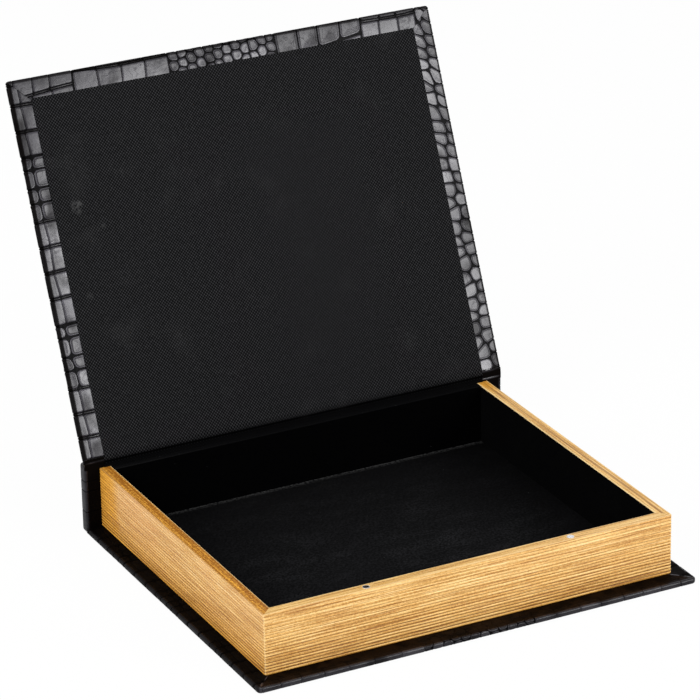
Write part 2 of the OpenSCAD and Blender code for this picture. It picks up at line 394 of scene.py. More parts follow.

# %% [markdown]
# The page edges are sprayed gold over ribs. A real gilt edge isn't even: light and dark
# streaks run along the pages, and the colour drifts from straw to tan. The grooves are
# darkened with brown, which is painted shade. The piece carries grain, which is the distance
# along the wall, the way up the ribs and over the top, and a number for the rib, so that the
# streaks follow the pages. The other values say where colour, painted shade and painted
# highlight lie: groove for the painted shade in the grooves, edge for the painted highlight on
# the rims and upright corners, warm for amber ends and for painted shade low on the wall,
# blush for tan, and top, seam and a darkening for the flat top of a wall.

# %% Gilt finish
GOLD_STOPS = (
    (0.0, (0.26, 0.095, 0.014)), (0.25, (0.50, 0.235, 0.045)), (0.5, (0.74, 0.425, 0.120)),
    (0.75, (0.90, 0.590, 0.215)), (1.0, (0.98, 0.73, 0.36)))
BLUSH_TAN = (0.80, 0.41, 0.165)
# amber of the toner, and of the painted shade at the foot and low on the wall
AMBER_DARK, AMBER_LIGHT = (0.27, 0.085, 0.003), (1.0, 0.49, 0.060)
# brown of the painted shade in the grooves, also used for the seam line and the darker top
GROOVE_BROWN = (0.16, 0.055, 0.007)
# bright gold of the painted highlight on the rims and upright corners
EDGE_HIGHLIGHT_GOLD = (0.98, 0.74, 0.37)
# where the seam in a wall's top runs, in mm up the wall and over its top
SEAM_AT = 37.9


def gilt_finish():
    """Sprayed gold with streaks along the pages, painted shade in the grooves and a painted highlight on the
    rims.
    """
    material, wire = new_material("gilt_page_edge")
    place = object_place(wire)
    grain = stored(wire, "grain", "Vector")
    groove, edge, warm, blush, top, seam, handled = (
        stored(wire, name)
        for name in ("groove", "edge", "warm", "blush", "top", "seam", "handled"))

    def streaks(along, across, detail):
        """Noise drawn out along the wall; smaller numbers make longer and wider streaks."""
        stretched = wire.vector("MULTIPLY", grain, (along, across, 3.1))
        return noise(wire, stretched, 1.0, detail, 0.6)

    fine = streaks(0.035, 3.4, 3.0)
    broad = streaks(0.012, 0.9, 2.0)
    line = streaks(0.020, 2.6, 1.0).ramp(0.60, 0.70)
    drift = noise(wire, place, 14.0, 2.0)
    flecks = noise(wire, place, 900.0, 3.0, 0.65)
    share = (0.60 + (fine - 0.5) * 2.7 + (broad - 0.5) * 1.4 + (flecks - 0.5) * 0.9
             - line * 0.35 - groove * 0.3)
    gold = wire.node("ShaderNodeValToRGB", {"stops": GOLD_STOPS}, {"Fac": share})
    tan = mix_colour(wire, blush * (0.25 + drift.ramp(0.40, 0.62) * 0.55), gold, BLUSH_TAN)
    mottled = share + 0.1 + top * ((flecks - 0.5) * 1.9 - 0.52)
    amber_colour = mix_colour(wire, mottled, AMBER_DARK, AMBER_LIGHT)
    amber = mix_colour(wire, warm * (0.7 + fine * 0.5), tan, amber_colour)
    way_up = wire.node("ShaderNodeSeparateXYZ", inputs={0: grain}).other(1)
    off_seam = (way_up - SEAM_AT + (broad - 0.5) * 3.0).maths("ABSOLUTE")
    seam_line = (1.0 - off_seam.ramp(0.15, 0.8)) * seam
    toned = mix_colour(wire, groove * 0.85 + seam_line * 0.65 + handled, amber, GROOVE_BROWN)
    finish_surface(
        wire, Base_Color=mix_colour(wire, edge * 0.8, toned, EDGE_HIGHLIGHT_GOLD),
        Roughness=0.45 + (flecks - 0.5) * 0.2 + groove * 0.2,
        Normal=bump(wire, fine + flecks * 0.3 - line * 0.6, 0.00012, 0.6),
        Specular_IOR_Level=0.31)
    return material


gilt = gilt_finish()
print("gilt finish:", len(gilt.node_tree.nodes), "nodes")

# %% [markdown]
# Velvet swallows light, and only its pile shows, as a faint sheen, painted into its colour,
# with a few brushed marks and specks of dust. The pieces say how much of that painted sheen
# is seen: less on the walls, where the pile lies another way, and much less in the painted
# shade at the back of the tray and towards the right wall. They also say where the rim is
# frayed, rim. The lid's cloth is a plain weave: threads about 0.93 mm apart cross over and
# under, so that the raised crossings form a pattern of slanting dots.

# %% Velvet finish
PILE_DARK, PILE_LIT = (0.0004, 0.0004, 0.0005), (0.0215, 0.0215, 0.0234)
VELVET_DUST = (0.08, 0.08, 0.08)


def velvet_finish():
    """Black velvet whose tufts show only as a faint sheen."""
    material, wire = new_material("black_velvet")
    place = object_place(wire)
    pile = noise(wire, place, 3200.0, 2.0, 0.7)
    brushed = noise(wire, wire.vector("MULTIPLY", place, (1.0, 2.4, 1.0)), 38.0, 3.0)
    dust = noise(wire, place, 620.0, 1.0).ramp(0.80, 0.86)
    tufts = noise(wire, place, 780.0, 2.0, 0.7).ramp(0.30, 0.80)
    # the piece's stored share lowers the painted sheen for the pile's lay and as painted shade in the tray
    sheen = stored(wire, "lay") * (0.12 + tufts * (0.45 + brushed.ramp(0.4, 0.8) * 0.55))
    shade = mix_colour(wire, sheen, PILE_DARK, PILE_LIT)
    frayed = stored(wire, "rim") * noise(wire, place, 900.0, 2.0).ramp(0.35, 0.65)
    dusty = mix_colour(wire, dust * 0.6 + frayed * 0.7, shade, VELVET_DUST)
    finish_surface(
        wire, Base_Color=dusty, Roughness=0.95, Specular_IOR_Level=0.0,
        Normal=bump(wire, pile, 0.0002, 0.7), Sheen_Weight=0.010, Sheen_Roughness=0.5)
    return material


velvet = velvet_finish()
print("velvet finish:", len(velvet.node_tree.nodes), "nodes")

# %% Scuffs on the cloth
# middle, half size and strength of each scuff on the lid's cloth, counted in threads
SCUFFS = ((-113.2, -37.3, 5.0, 0.32), (-101.0, -23.8, 3.2, 0.16), (-116.9, 13.3, 3.0, 0.10))


def scuffs(wire, across, along):
    """Pale rubbed patches with ragged rims."""
    total = 0.0
    ragged = noise(wire, wire.node("ShaderNodeCombineXYZ", inputs={0: across, 1: along}), 0.35, 3.0)
    for middle_across, middle_along, reach, strength in SCUFFS:
        off_across, off_along = across - middle_across, along - middle_along
        away = (off_across * off_across + off_along * off_along).maths("SQRT") / reach
        total = total + (1.0 - away.ramp(0.2, 1.2)) * ragged.ramp(0.40, 0.62) * strength
    return total


# %% Woven cloth finish
WEAVE_DARK, WEAVE_LIGHT = (0.0032, 0.0032, 0.0034), (0.045, 0.045, 0.048)
# darker black of the pressed cloth, partly painted shade, and near black painted as shade in the hollow of
# the fold
PRESSED_SHADE_BLACK, CREASE_SHADE_BLACK = (0.0022, 0.0022, 0.0024), (0.0002, 0.0002, 0.0002)
CLOTH_DUST = (0.11, 0.11, 0.11)


def cloth_finish():
    """Black cloth with a dot on every crossing of two threads."""
    material, wire = new_material("black_woven_cloth")
    place = object_place(wire)
    threads = wire.node("ShaderNodeUVMap", {"uv_map": "threads"})
    across = wire.node("ShaderNodeSeparateXYZ", inputs={0: threads})
    along = across.other(1)
    pressed, hollow, rubbed = (stored(wire, name) for name in ("pressed", "hollow", "rubbed"))
    raised = 0.5 + (across * math.pi).maths("SINE") * (along * math.pi).maths("SINE") * 0.5
    uneven = noise(wire, threads, 0.45, 2.0)
    clouds = noise(wire, place, 45.0, 3.0)
    fluff = noise(wire, place, 160.0, 4.0).ramp(0.72, 0.86)
    light = raised.maths("POWER", 2.8) * (0.3 + uneven * 1.4)
    shade = mix_colour(wire, light, WEAVE_DARK, WEAVE_LIGHT)
    # pressed cloth loses its weave and its dust, and its darker colour is painted shade
    flat = mix_colour(wire, pressed * 0.93, shade, PRESSED_SHADE_BLACK)
    # painted shade: the hollow of the fold over the crest turns near black
    sunk = mix_colour(wire, hollow, flat, CREASE_SHADE_BLACK)
    # painted highlight along the front edge of the wall's top, with light specks in it
    specks = noise(wire, place, 520.0, 2.0).ramp(0.70, 0.76) * rubbed
    pale = (fluff * 0.14 + clouds.ramp(0.55, 0.85) * 0.05 + scuffs(wire, across, along)
            + rubbed * 0.10)
    dust = pale * (1.0 - pressed * 0.8) + specks * 0.8
    finish_surface(
        wire, Base_Color=mix_colour(wire, dust, sunk, CLOTH_DUST), Roughness=0.85,
        Specular_IOR_Level=0.0, Normal=bump(wire, raised, 0.00018, 0.8))
    return material


cloth = cloth_finish()
print("cloth finish:", len(cloth.node_tree.nodes), "nodes")

# %% [markdown]
# The boards are grey card, seen nowhere once the case is covered. The magnets are nickel
# discs: the one at the left carries a painted shadow and dark reflection, which leave only its
# front rim bright, and the other is plain.

# %% Card finish
def card_finish():
    """Grey board with a fibrous face."""
    material, wire = new_material("grey_card")
    fibres = noise(wire, object_place(wire), 700.0, 4.0)
    shade = mix_colour(wire, fibres, (0.20, 0.17, 0.13), (0.30, 0.26, 0.20))
    finish_surface(wire, Base_Color=shade, Roughness=0.85,
                   Normal=bump(wire, fibres, 0.0001, 0.5))
    return material


# %% Nickel finish
NICKEL_DARK, NICKEL_LIGHT = (0.62, 0.62, 0.64), (0.82, 0.82, 0.84)
# dark brown of the painted shadow and dark reflection on the left magnet
SHADOW_BROWN = (0.030, 0.020, 0.016)
# how far behind the disc's middle the painted shadow is centred, and where it ends, in mm
SHADOW_SHIFT = 0.7
SHADOW_INNER, SHADOW_OUTER = 1.4, 2.2


def nickel_finish(name, shadow_strength, middle):
    """Nickel with a painted shadow and dark reflection that leave only the front rim bright."""
    material, wire = new_material(name)
    place = object_place(wire)
    haze = noise(wire, place, 1500.0, 3.0)
    clean = mix_colour(wire, haze, NICKEL_DARK, NICKEL_LIGHT)
    shadow_at = (middle[0] * MM, (middle[1] + SHADOW_SHIFT) * MM, 0)
    off = wire.vector("MULTIPLY", wire.vector("SUBTRACT", place, shadow_at), (1.0, 1.0, 0.0))
    away = wire.node("ShaderNodeVectorMath", {"operation": "LENGTH"}, {0: off}, out=1)
    shadow_share = (1.0 - away.ramp(SHADOW_INNER * MM, SHADOW_OUTER * MM)) * shadow_strength
    shade = mix_colour(wire, shadow_share, clean, SHADOW_BROWN)
    finish_surface(wire, Base_Color=shade, Metallic=1.0, Roughness=0.20 + haze * 0.15,
                   Normal=bump(wire, haze, 0.00002, 0.4))
    return material


# %% Finishes for the pieces that keep their CAD shape
card = card_finish()
left_disc = frame["nodes"]["tray_magnet_left"]
left_middle = np.mean([v.co / MM for v in left_disc.data.vertices], 0)
nickel = nickel_finish("nickel_disc", 0.0, (0, 0))
# the left magnet's painted shadow and dark reflection leave only its front rim bright
dark_nickel = nickel_finish("nickel_disc_shadowed", 0.95, left_middle)


def dress(nodes, material):
    """Gives CAD nodes that stay in view a finish of their own."""
    for name in nodes:
        slots = frame["nodes"][name].data.materials
        slots.clear()
        slots.append(material)


dress(["base_board", "spine_board", "lid_board", "tray_floor", "lid_card"], card)
dress(["back_wall"], velvet)
dress(["tray_magnet_right", "lid_magnet_left", "lid_magnet_right"], nickel)
dress(["tray_magnet_left"], dark_nickel)
print("finishes:", [m.name for m in bpy.data.materials])

# %% [markdown]
# The sizes that the pieces share are read from the frame, so that each piece goes where the
# CAD says. The lid's pieces are drawn on the closed box, where every edge is square to the
# axes, and then turned about the hinge line to the open stop.

# %% Sizes from the frame
def corner(node):
    """A node's lowest and highest corners in millimetres."""
    low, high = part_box(node)
    return np.array(low) / MM, np.array(high) / MM


front_low, front_high = corner("front_wall")
left_low, left_high = corner("left_wall")
base_low, base_high = corner("base_leather")
spine_low, spine_high = corner("spine_leather")
tray_half = -left_low[0]
tray_front = front_low[1]
tray_back = left_high[1]
tray_low, tray_top = front_low[2], front_high[2]
wall_t = left_high[0] - left_low[0]
case_half = base_high[0]
case_front = base_low[1]
hinge = frame["joints"][0]
hinge_line = Vector(hinge["pos_m"]) / MM
open_angle = max(abs(a) for a in hinge["range_deg"])
print("tray", tray_half * 2, "by", tray_back - tray_front, "walls", round(wall_t, 2),
      "open by", open_angle)

# %% Shapes from node trees
def shape_tree(name, sizes):
    """An empty tree with a shape going in and a number input for each size."""
    tree = bpy.data.node_groups.new(name, "GeometryNodeTree")
    sockets = tree.interface
    sockets.new_socket("Shape", in_out="INPUT", socket_type="NodeSocketGeometry")
    sockets.new_socket("Shape", in_out="OUTPUT", socket_type="NodeSocketGeometry")
    for label, value in sizes.items():
        kind = "NodeSocketInt" if isinstance(value, int) else "NodeSocketFloat"
        sockets.new_socket(label, in_out="INPUT", socket_type=kind).default_value = value
    start = tree.nodes.new("NodeGroupInput")
    return {label: Wire(tree, start.outputs[label]) for label in ("Shape", *sizes)}


def end_tree(geometry, material):
    """Ends a shape tree: plain geometry with its finish."""
    single = geometry.node("GeometryNodeRealizeInstances", inputs={0: geometry})
    painted = geometry.node("GeometryNodeSetMaterial", inputs={
        "Geometry": single, "Material": material})
    end = geometry.tree.nodes.new("NodeGroupOutput")
    geometry.tree.links.new(painted.socket, end.inputs[0])
    return geometry.tree


def plain_mesh(holder):
    """The mesh that an object's modifier makes; the object itself is taken away."""
    graph = bpy.context.evaluated_depsgraph_get()
    made = bpy.data.meshes.new_from_object(
        holder.evaluated_get(graph), preserve_all_data_layers=True, depsgraph=graph)
    bpy.data.objects.remove(holder)
    return made


def run_tree(mesh, tree, sizes):
    """The plain mesh that a tree makes from a mesh."""
    holder = new_object("shaping", mesh)
    modifier = holder.modifiers.new("shaping", "NODES")
    modifier.node_group = tree
    for item in tree.interface.items_tree:
        if item.in_out == "INPUT" and item.name in sizes:
            modifier[item.identifier] = sizes[item.name]
    return plain_mesh(holder)


def store(geometry, name, value, kind="FLOAT", selection=None):
    """Writes a value down for each point, under a name that a finish or a later step reads."""
    inputs = {"Geometry": geometry, "Name": name, "Value": value}
    if selection is not None:
        inputs["Selection"] = selection
    return geometry.node("GeometryNodeStoreNamedAttribute", {
        "data_type": kind, "domain": "POINT"}, inputs)


def add_number(mesh, name, value):
    """A number, or one number for each point, for the finish of a piece to read."""
    layer = mesh.attributes.get(name) or mesh.attributes.new(name, "FLOAT", "POINT")
    layer.data.foreach_set("value", np.full(len(mesh.vertices), value, np.float32))


def put_in_scene(name, mesh, body=None, stands_for=()):
    """Makes a finished mesh, drawn in millimetres, a piece of the box."""
    mesh.transform(Matrix.Scale(MM, 4))
    piece = new_object(name, mesh)
    if body:
        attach(piece, body)
    if stands_for:
        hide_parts(*stands_for)
    print(name, "triangles:", sum(len(p.vertices) - 2 for p in mesh.polygons))
    return piece


# %% [markdown]
# The walls of the tray imitate the edges of a book's pages: a stack of rounded ribs, each
# about 1.7 mm high, mitred at the front corners. A rib could be drawn once and repeated, but
# the ribs of one wall are one surface. So the tree bends a flat grid: its columns run along
# the wall, and its rows run up over all the ribs, across the top and down the inside.

# %% Grid of a gilt wall
RIB_COUNT = 20
RIB_DEPTH = 0.36
# rows of points up one rib, and from the last rib over the top and down the inside
RIB_ROWS, CLOSING_ROWS = 8, 7
LAST_RIB_ROW = RIB_COUNT * RIB_ROWS
ROW_COUNT = LAST_RIB_ROW + CLOSING_ROWS + 1
# columns of points that crowd round each corner
CORNER_STATIONS = 7


def wall_grid(size):
    """A flat grid, and for each of its points the column and the row, counted from 0."""
    stations = size["Stations"]
    grid = size["Shape"].node("GeometryNodeMeshGrid", inputs={
        "Vertices X": stations, "Vertices Y": ROW_COUNT,
        "Size X": stations - 1, "Size Y": float(ROW_COUNT - 1)})
    at = grid.node("ShaderNodeSeparateXYZ", inputs={0: grid.node("GeometryNodeInputPosition")})
    station = (at + (stations - 1) / 2).maths("ROUND")
    row = (at.other(1) + (ROW_COUNT - 1) / 2).maths("ROUND")
    return grid, station, row


def way_along(size, station):
    """How far along the wall a column lies, in mm."""
    fine = size["Corner radius"] / (CORNER_STATIONS - 2)
    last = size["Stations"] - 1
    coarse_count = last - 2 * CORNER_STATIONS
    coarse = (size["Length"] - fine * (2 * CORNER_STATIONS)) / coarse_count
    near = least(station, CORNER_STATIONS)
    far = most(station - (last - CORNER_STATIONS), 0.0)
    middle = most(least(station - CORNER_STATIONS, coarse_count), 0.0)
    return fine * (near + far) + coarse * middle


def on_row(row, number):
    """1 on one row, counted from the last row of the ribs, and 0 elsewhere."""
    return row.maths("COMPARE", float(LAST_RIB_ROW + number), 0.1)


# %% Section of a gilt wall
# width of the strip beside each edge of the wall's top that carries the painted highlight
HIGHLIGHT_STRIP = 0.45
# how far from a corner the mitre begins to pull the columns aslant
MITRE_REACH = 12.0


def rib_face(size, row, along):
    """How deep the ribs' rows lie behind the wall's face, and how high they lie."""
    height = size["Height"]
    pitch = height / RIB_COUNT
    radius = RIB_DEPTH / 2 + pitch * pitch / (8 * RIB_DEPTH)
    rib_row = least(row, float(LAST_RIB_ROW))
    share = (rib_row / RIB_ROWS).maths("FRACT") - 0.5
    sunk = radius - (radius * radius - share * share * pitch * pitch).maths("SQRT")
    level = rib_row / LAST_RIB_ROW * height

    def wobble(along_scale, level_scale, offset):
        """A slow unevenness about 0, at the level as it is so far."""
        spot = row.node("ShaderNodeCombineXYZ", inputs={
            0: along * along_scale, 1: level * level_scale, 2: size["Seed"] + offset})
        return noise(row, spot, 1.0, 2.0) - 0.5

    inside = level * (height - level) * 4 / (height * height)
    level = level + wobble(0.03, 0.55, 3.0) * 0.55 * least(inside * 6, 1.0)
    dip = most(wobble(0.05, 0.9, 7.0) + 0.05, 0.0) * 0.22
    sunk = sunk * (1.0 - 0.35 * level / height) + dip
    return sunk, level


def closing_depth(size, row):
    """How deep the rows after the ribs lie: two rims, the inner face and the foot."""
    thickness, rim = size["Thickness"], size["Rim"]
    outer_rim = RIB_DEPTH + rim * 0.6
    depths = (outer_rim, outer_rim + HIGHLIGHT_STRIP, thickness - rim - HIGHLIGHT_STRIP, thickness - rim,
              thickness, thickness, RIB_DEPTH)
    total = 0.0
    for number, depth in enumerate(depths, 1):
        total = total + on_row(row, number) * depth
    return total


def mitred(size, along, depth):
    """Shears the ends of a wall to its mitres, and rounds the outer corners."""
    length, radius, far_mitre = size["Length"], size["Corner radius"], size["Far mitre"]
    shear_near = 1.0 - least(along / MITRE_REACH, 1.0)
    shear_far = (1.0 - least((length - along) / MITRE_REACH, 1.0)) * far_mitre
    across = along + depth * shear_near - depth * shear_far

    def eased(a, b):
        """Pulls the corner square of the plan onto a quarter circle."""
        p, q = most(radius - a, 0.0), most(radius - b, 0.0)
        pull = most(p, q) / (p * p + q * q + 1e-9).maths("SQRT")
        change = least(p, q).maths("GREATER_THAN", 0.0) * (1.0 - pull)
        return p * change, q * change

    near_across, near_depth = eased(across, depth)
    far_across, far_depth = eased(length - across, depth)
    return (across + near_across - far_across * far_mitre,
            depth + near_depth + far_depth * far_mitre)


# %% [markdown]
# The toner isn't sprayed evenly: it gathers towards the spine end of the side walls and, on
# the left wall, on the whole top. Painted shade darkens the grooves, more so low on the wall,
# and turns the foot and the lower wall amber. The same tree that makes the shape writes this
# down for every point, so that the finish finds it. The rims and the upright corners carry a
# painted highlight of bright gold.

# %% Toner and painted light on a gilt wall
# length of the amber end, and width of the painted highlight on an upright corner, in mm
END_FADE, CORNER_FADE = 25.0, 0.9


def toner_and_painted_light(size, row, along, level, sunk, on_ribs, on_top):
    """What the gilt finish reads at every point of a wall."""
    length, height, top_warmth = size["Length"], size["Height"], size["Top warmth"]
    low_share = least(most(1.0 - level / height, 0.0), 1.0)
    groove = (sunk / RIB_DEPTH).maths("POWER", 1.15)
    ends = most((along - (length - END_FADE)) / END_FADE, 0.0) * size["End warmth"]
    warm_top = on_top * (top_warmth * (0.88 + 0.32 * along / length))
    # painted shade: the foot and the lower wall turn darker and amber
    foot = least(most(1.0 - level / 1.1, 0.0), 1.0) * 0.7
    lower = low_share.maths("POWER", 2.0) * size["Painted low shade"]
    near_corner = most(1.0 - along / CORNER_FADE, 0.0)
    far_corner = most(1.0 - (length - along) / CORNER_FADE, 0.0) * size["Far mitre"]
    upright = most(near_corner, far_corner)
    # painted highlight along the rims of the wall's top
    rims = ((on_row(row, 0) * 0.5 + on_row(row, 1)) * (1.0 - top_warmth * 0.75)
            + on_row(row, 4) + on_row(row, 5) * 0.9)
    return {
        # painted shade in the grooves, deeper low on the wall
        "groove": on_ribs * groove * (0.56 + 0.80 * low_share.maths("POWER", 1.6)),
        "warm": least(most(warm_top, ends) + (foot + lower) * on_ribs, 1.0),
        "blush": size["Blush"] * on_ribs * (1.0 - low_share * 0.5),
        "seam": size["Seam"] * on_top,
        "top": top_warmth * on_top,
        # a slight darkening towards brown of the flat top of the front and right walls
        "handled": on_top * most(1.0 - top_warmth, 0.0) * 0.15,
        "edge": least(upright * on_ribs * 0.6 + rims, 1.0)}


# %% Gilt wall tree
def gilt_wall_tree():
    """Bends a flat grid into a ribbed wall with its top and its inner face."""
    size = shape_tree("gilt_wall", {
        "Length": 240.0, "Height": 34.5, "Thickness": 6.6, "Stations": 70,
        "Far mitre": 1.0, "Corner radius": 1.2, "Rim": 0.3, "Seed": 1.0,
        "Top warmth": 0.2, "End warmth": 0.0, "Painted low shade": 0.2, "Blush": 0.3,
        "Seam": 0.0})
    height = size["Height"]
    grid, station, row = wall_grid(size)
    along = way_along(size, station)
    on_ribs = row.maths("LESS_THAN", LAST_RIB_ROW + 0.5)
    on_top = on_row(row, 1) + on_row(row, 2) + on_row(row, 3) + on_row(row, 4)
    sunk, rib_level = rib_face(size, row, along)
    closing = closing_depth(size, row)
    level = on_ribs * rib_level + on_top * height + on_row(row, 5) * (height - size["Rim"])
    across, depth = mitred(size, along, on_ribs * sunk + closing)
    rib = (least(row, float(LAST_RIB_ROW)) / RIB_ROWS).maths("FLOOR")
    grain = grid.node("ShaderNodeCombineXYZ", inputs={
        0: along, 1: level + closing, 2: on_ribs * rib + size["Seed"] * 7.0})
    out = store(grid, "grain", grain, "FLOAT_VECTOR")
    for name, value in toner_and_painted_light(size, row, along, level, sunk, on_ribs, on_top).items():
        out = store(out, name, value)
    place = grid.node("ShaderNodeCombineXYZ", inputs={0: across, 1: depth, 2: level})
    out = grid.node("GeometryNodeSetPosition", inputs={"Geometry": out, "Position": place})
    out = grid.node("GeometryNodeMergeByDistance", inputs={"Geometry": out, "Distance": 0.002})
    return end_tree(out, gilt)


wall_tree = gilt_wall_tree()
print("gilt wall tree:", len(wall_tree.nodes), "nodes,", RIB_COUNT, "ribs of",
      round((tray_top - tray_low) / RIB_COUNT, 2), "mm")

# %% Closing a mesh and drilling it
def close_shell(mesh, sharp_degrees=50):
    """Closes open ends, turns all faces outwards and shades the soft edges smooth."""
    work = bmesh.new()
    work.from_mesh(mesh)
    bmesh.ops.holes_fill(work, edges=[e for e in work.edges if e.is_boundary], sides=0)
    bmesh.ops.recalc_face_normals(work, faces=work.faces)
    work.to_mesh(mesh)
    work.free()
    mesh.shade_smooth()
    mesh.set_sharp_from_angle(angle=math.radians(sharp_degrees))
    return mesh


def bore(mesh, places, radius, depth):
    """Drills round holes down from the top of a wall."""
    holder = new_object("drilled", mesh)
    drill_mesh = bpy.data.meshes.new("drill")
    work = bmesh.new()
    for x, y in places:
        bmesh.ops.create_cone(
            work, cap_ends=True, segments=32, radius1=radius, radius2=radius, depth=2 * depth,
            matrix=Matrix.Translation((x, y, tray_top)))
    work.to_mesh(drill_mesh)
    work.free()
    drill = new_object("drill", drill_mesh)
    cutter = holder.modifiers.new("bores", "BOOLEAN")
    cutter.object = drill
    cutter.solver = "EXACT"
    made = plain_mesh(holder)
    bpy.data.objects.remove(drill)
    return made


# %% Gilt walls
TONE_AND_SHADE_INPUTS = ("Top warmth", "End warmth", "Painted low shade", "Blush", "Seam")
TONE_AND_SHADE = {"front_wall": (0.10, 0.0, 0.38, 0.15, 0.0), "left_wall": (1.1, 2.6, 0.95, 0.6, 0.0),
          "right_wall": (0.30, 1.3, 0.3, 0.4, 0.75)}
FRONT_STATIONS, SIDE_STATIONS = 74, 66
MAGNET_FIT = 0.05


def gilt_wall(node, length, stations, far_mitre, seed, origin, along, inward):
    """A wall that starts at origin, runs along one direction and is thick in another."""
    mesh = run_tree(bpy.data.meshes.new(f"{node}_ribs"), wall_tree, {
        "Length": length, "Height": tray_top - tray_low, "Thickness": wall_t,
        "Stations": stations, "Far mitre": far_mitre, "Seed": seed,
        **dict(zip(TONE_AND_SHADE_INPUTS, TONE_AND_SHADE[node]))})
    turn = Matrix((along, inward, (0, 0, 1))).transposed().to_4x4()
    mesh.transform(Matrix.Translation(origin) @ turn)
    return close_shell(mesh)


side_length = tray_back - tray_front
front_left = (-tray_half, tray_front, tray_low)
front_right = (tray_half, tray_front, tray_low)
front_mesh = gilt_wall("front_wall", 2 * tray_half, FRONT_STATIONS, 1.0, 1.0, front_left,
                       (1, 0, 0), (0, 1, 0))
left_mesh = gilt_wall("left_wall", side_length, SIDE_STATIONS, 0.0, 2.0, front_left,
                      (0, 1, 0), (1, 0, 0))
right_mesh = gilt_wall("right_wall", side_length, SIDE_STATIONS, 0.0, 3.0, front_right,
                       (0, 1, 0), (-1, 0, 0))
magnet_low, magnet_high = corner("tray_magnet_right")
magnet_x, magnet_y = (magnet_low[:2] + magnet_high[:2]) / 2
bore_r = (magnet_high[0] - magnet_low[0]) / 2 + MAGNET_FIT
front_mesh = bore(front_mesh, [(-magnet_x, magnet_y), (magnet_x, magnet_y)], bore_r,
                  magnet_high[2] - magnet_low[2])
for node, mesh in (("front_wall", front_mesh), ("left_wall", left_mesh),
                   ("right_wall", right_mesh)):
    put_in_scene(f"gilt_{node}", mesh, "base", [node])

# %% [markdown]
# Velvet and cloth are glued sheets. A sheet with a little thickness is drawn as a flat slab
# of fine squares: its face swells and sinks by a few hundredths of a millimetre, and its rim
# is rounded off, which is what makes an edge look soft. One helper draws all of them.

# %% Soft slabs
RIM_WIDTH = 0.8


def soft_waves(a, b, seed):
    """A smooth unevenness between about -1 and 1 over two directions in millimetres."""
    total = np.zeros_like(a)
    draw = random.Random(seed)
    for wavelength in (61.0, 37.0, 19.0, 11.0):
        heading, phase = draw.uniform(0, math.pi), draw.uniform(0, 2 * math.pi)
        reach = (a * math.cos(heading) + b * math.sin(heading)) * 2 * math.pi / wavelength
        total += 0.3 * np.sin(reach + phase + 0.8 * np.sin(b / wavelength + phase))
    return total


def rim_steps(length, pitch):
    """Grid lines across a slab: close together at both rims, about a pitch apart between."""
    inner = np.linspace(RIM_WIDTH, length - RIM_WIDTH, max(2, round(length / pitch)))
    rim = np.array([0.0, 0.25, 0.5, 0.75]) * RIM_WIDTH
    return np.concatenate([rim, inner, length - rim[::-1]])


def hill(value, centre, width):
    """1 at the centre, falling to 0 within about two widths on both sides."""
    return np.exp(-((value - centre) / width) ** 2)


def soft_slab(name, low, high, facing, pitch, swell, seed, material, threads=None):
    """A slab in the box from low to high whose soft face looks along facing, such as +z."""
    axis = "xyz".index(facing[1])
    sign = 1 if facing[0] == "+" else -1
    first, second = [i for i in range(3) if i != axis]
    steps_a = rim_steps(high[first] - low[first], pitch)
    steps_b = rim_steps(high[second] - low[second], pitch)
    a, b = np.meshgrid(steps_a, steps_b, indexing="ij")
    thick = high[axis] - low[axis]
    edge = np.minimum(np.minimum(a, steps_a[-1] - a), np.minimum(b, steps_b[-1] - b))
    roll = np.clip(edge / RIM_WIDTH, 0, 1)
    height = thick * (0.55 + 0.45 * np.sqrt(1 - (1 - roll) ** 2))
    height += swell * soft_waves(a, b, seed) * roll
    count_a, count_b = a.shape
    points = np.zeros((2, count_a, count_b, 3))
    points[..., first] = low[first] + a
    points[..., second] = low[second] + b
    start = low[axis] if sign > 0 else high[axis]
    points[0, ..., axis] = start
    points[1, ..., axis] = start + sign * height
    index = np.arange(2 * count_a * count_b).reshape(2, count_a, count_b)
    faces = []
    for layer in (0, 1):
        q = index[layer]
        faces += np.stack([q[:-1, :-1], q[1:, :-1], q[1:, 1:], q[:-1, 1:]], -1).reshape(
            -1, 4).tolist()
    for line in (index[:, :, 0], index[:, :, -1], index[:, 0, :], index[:, -1, :]):
        faces += np.stack([line[0, :-1], line[0, 1:], line[1, 1:], line[1, :-1]], -1).tolist()
    mesh = bpy.data.meshes.new(name)
    mesh.from_pydata(points.reshape(-1, 3).tolist(), [], faces)
    mesh.materials.append(material)
    if threads:
        flat = points.reshape(-1, 3)
        add_threads(mesh, flat[:, first] / threads[0], flat[:, second] / threads[1])
    return close_shell(mesh, 70)


def add_threads(mesh, across, along):
    """A UV map that counts threads, from one number of each kind for every point."""
    layer = mesh.uv_layers.new(name="threads")
    corner_points = np.zeros(len(mesh.loops), int)
    mesh.loops.foreach_get("vertex_index", corner_points)
    layer.data.foreach_set("uv", np.stack(
        [across[corner_points], along[corner_points]], -1).astype(np.float32).ravel())


# %% Velvet in the tray
# node, the way its pile faces and what it is glued to
VELVETS = (("front_lining", "+y", "front_wall"), ("left_lining", "+x", "left_wall"),
           ("right_lining", "-x", "right_wall"), ("back_lining", "-y", "back_wall"),
           ("floor_lining", "+z", "tray_floor"))
VELVET_PITCH = 3.4
FLOOR_SWELL, WALL_SWELL = 0.12, 0.05
# sheen that the side and front velvets show, lower for the lay of their pile, and the back wall's, lower
# still as painted shade, for that wall lies in the lid's shadow
WALL_SHEEN, BACK_SHEEN_IN_SHADE = 0.12, 0.035


def floor_sheen_in_shade(to_back, to_right):
    """Painted shade: the floor's velvet darkens towards the back and the right wall."""
    return ((0.22 + 0.76 * np.clip(to_back / 110, 0, 1))
            * (0.35 + 0.65 * np.clip(to_right / 60, 0, 1)))


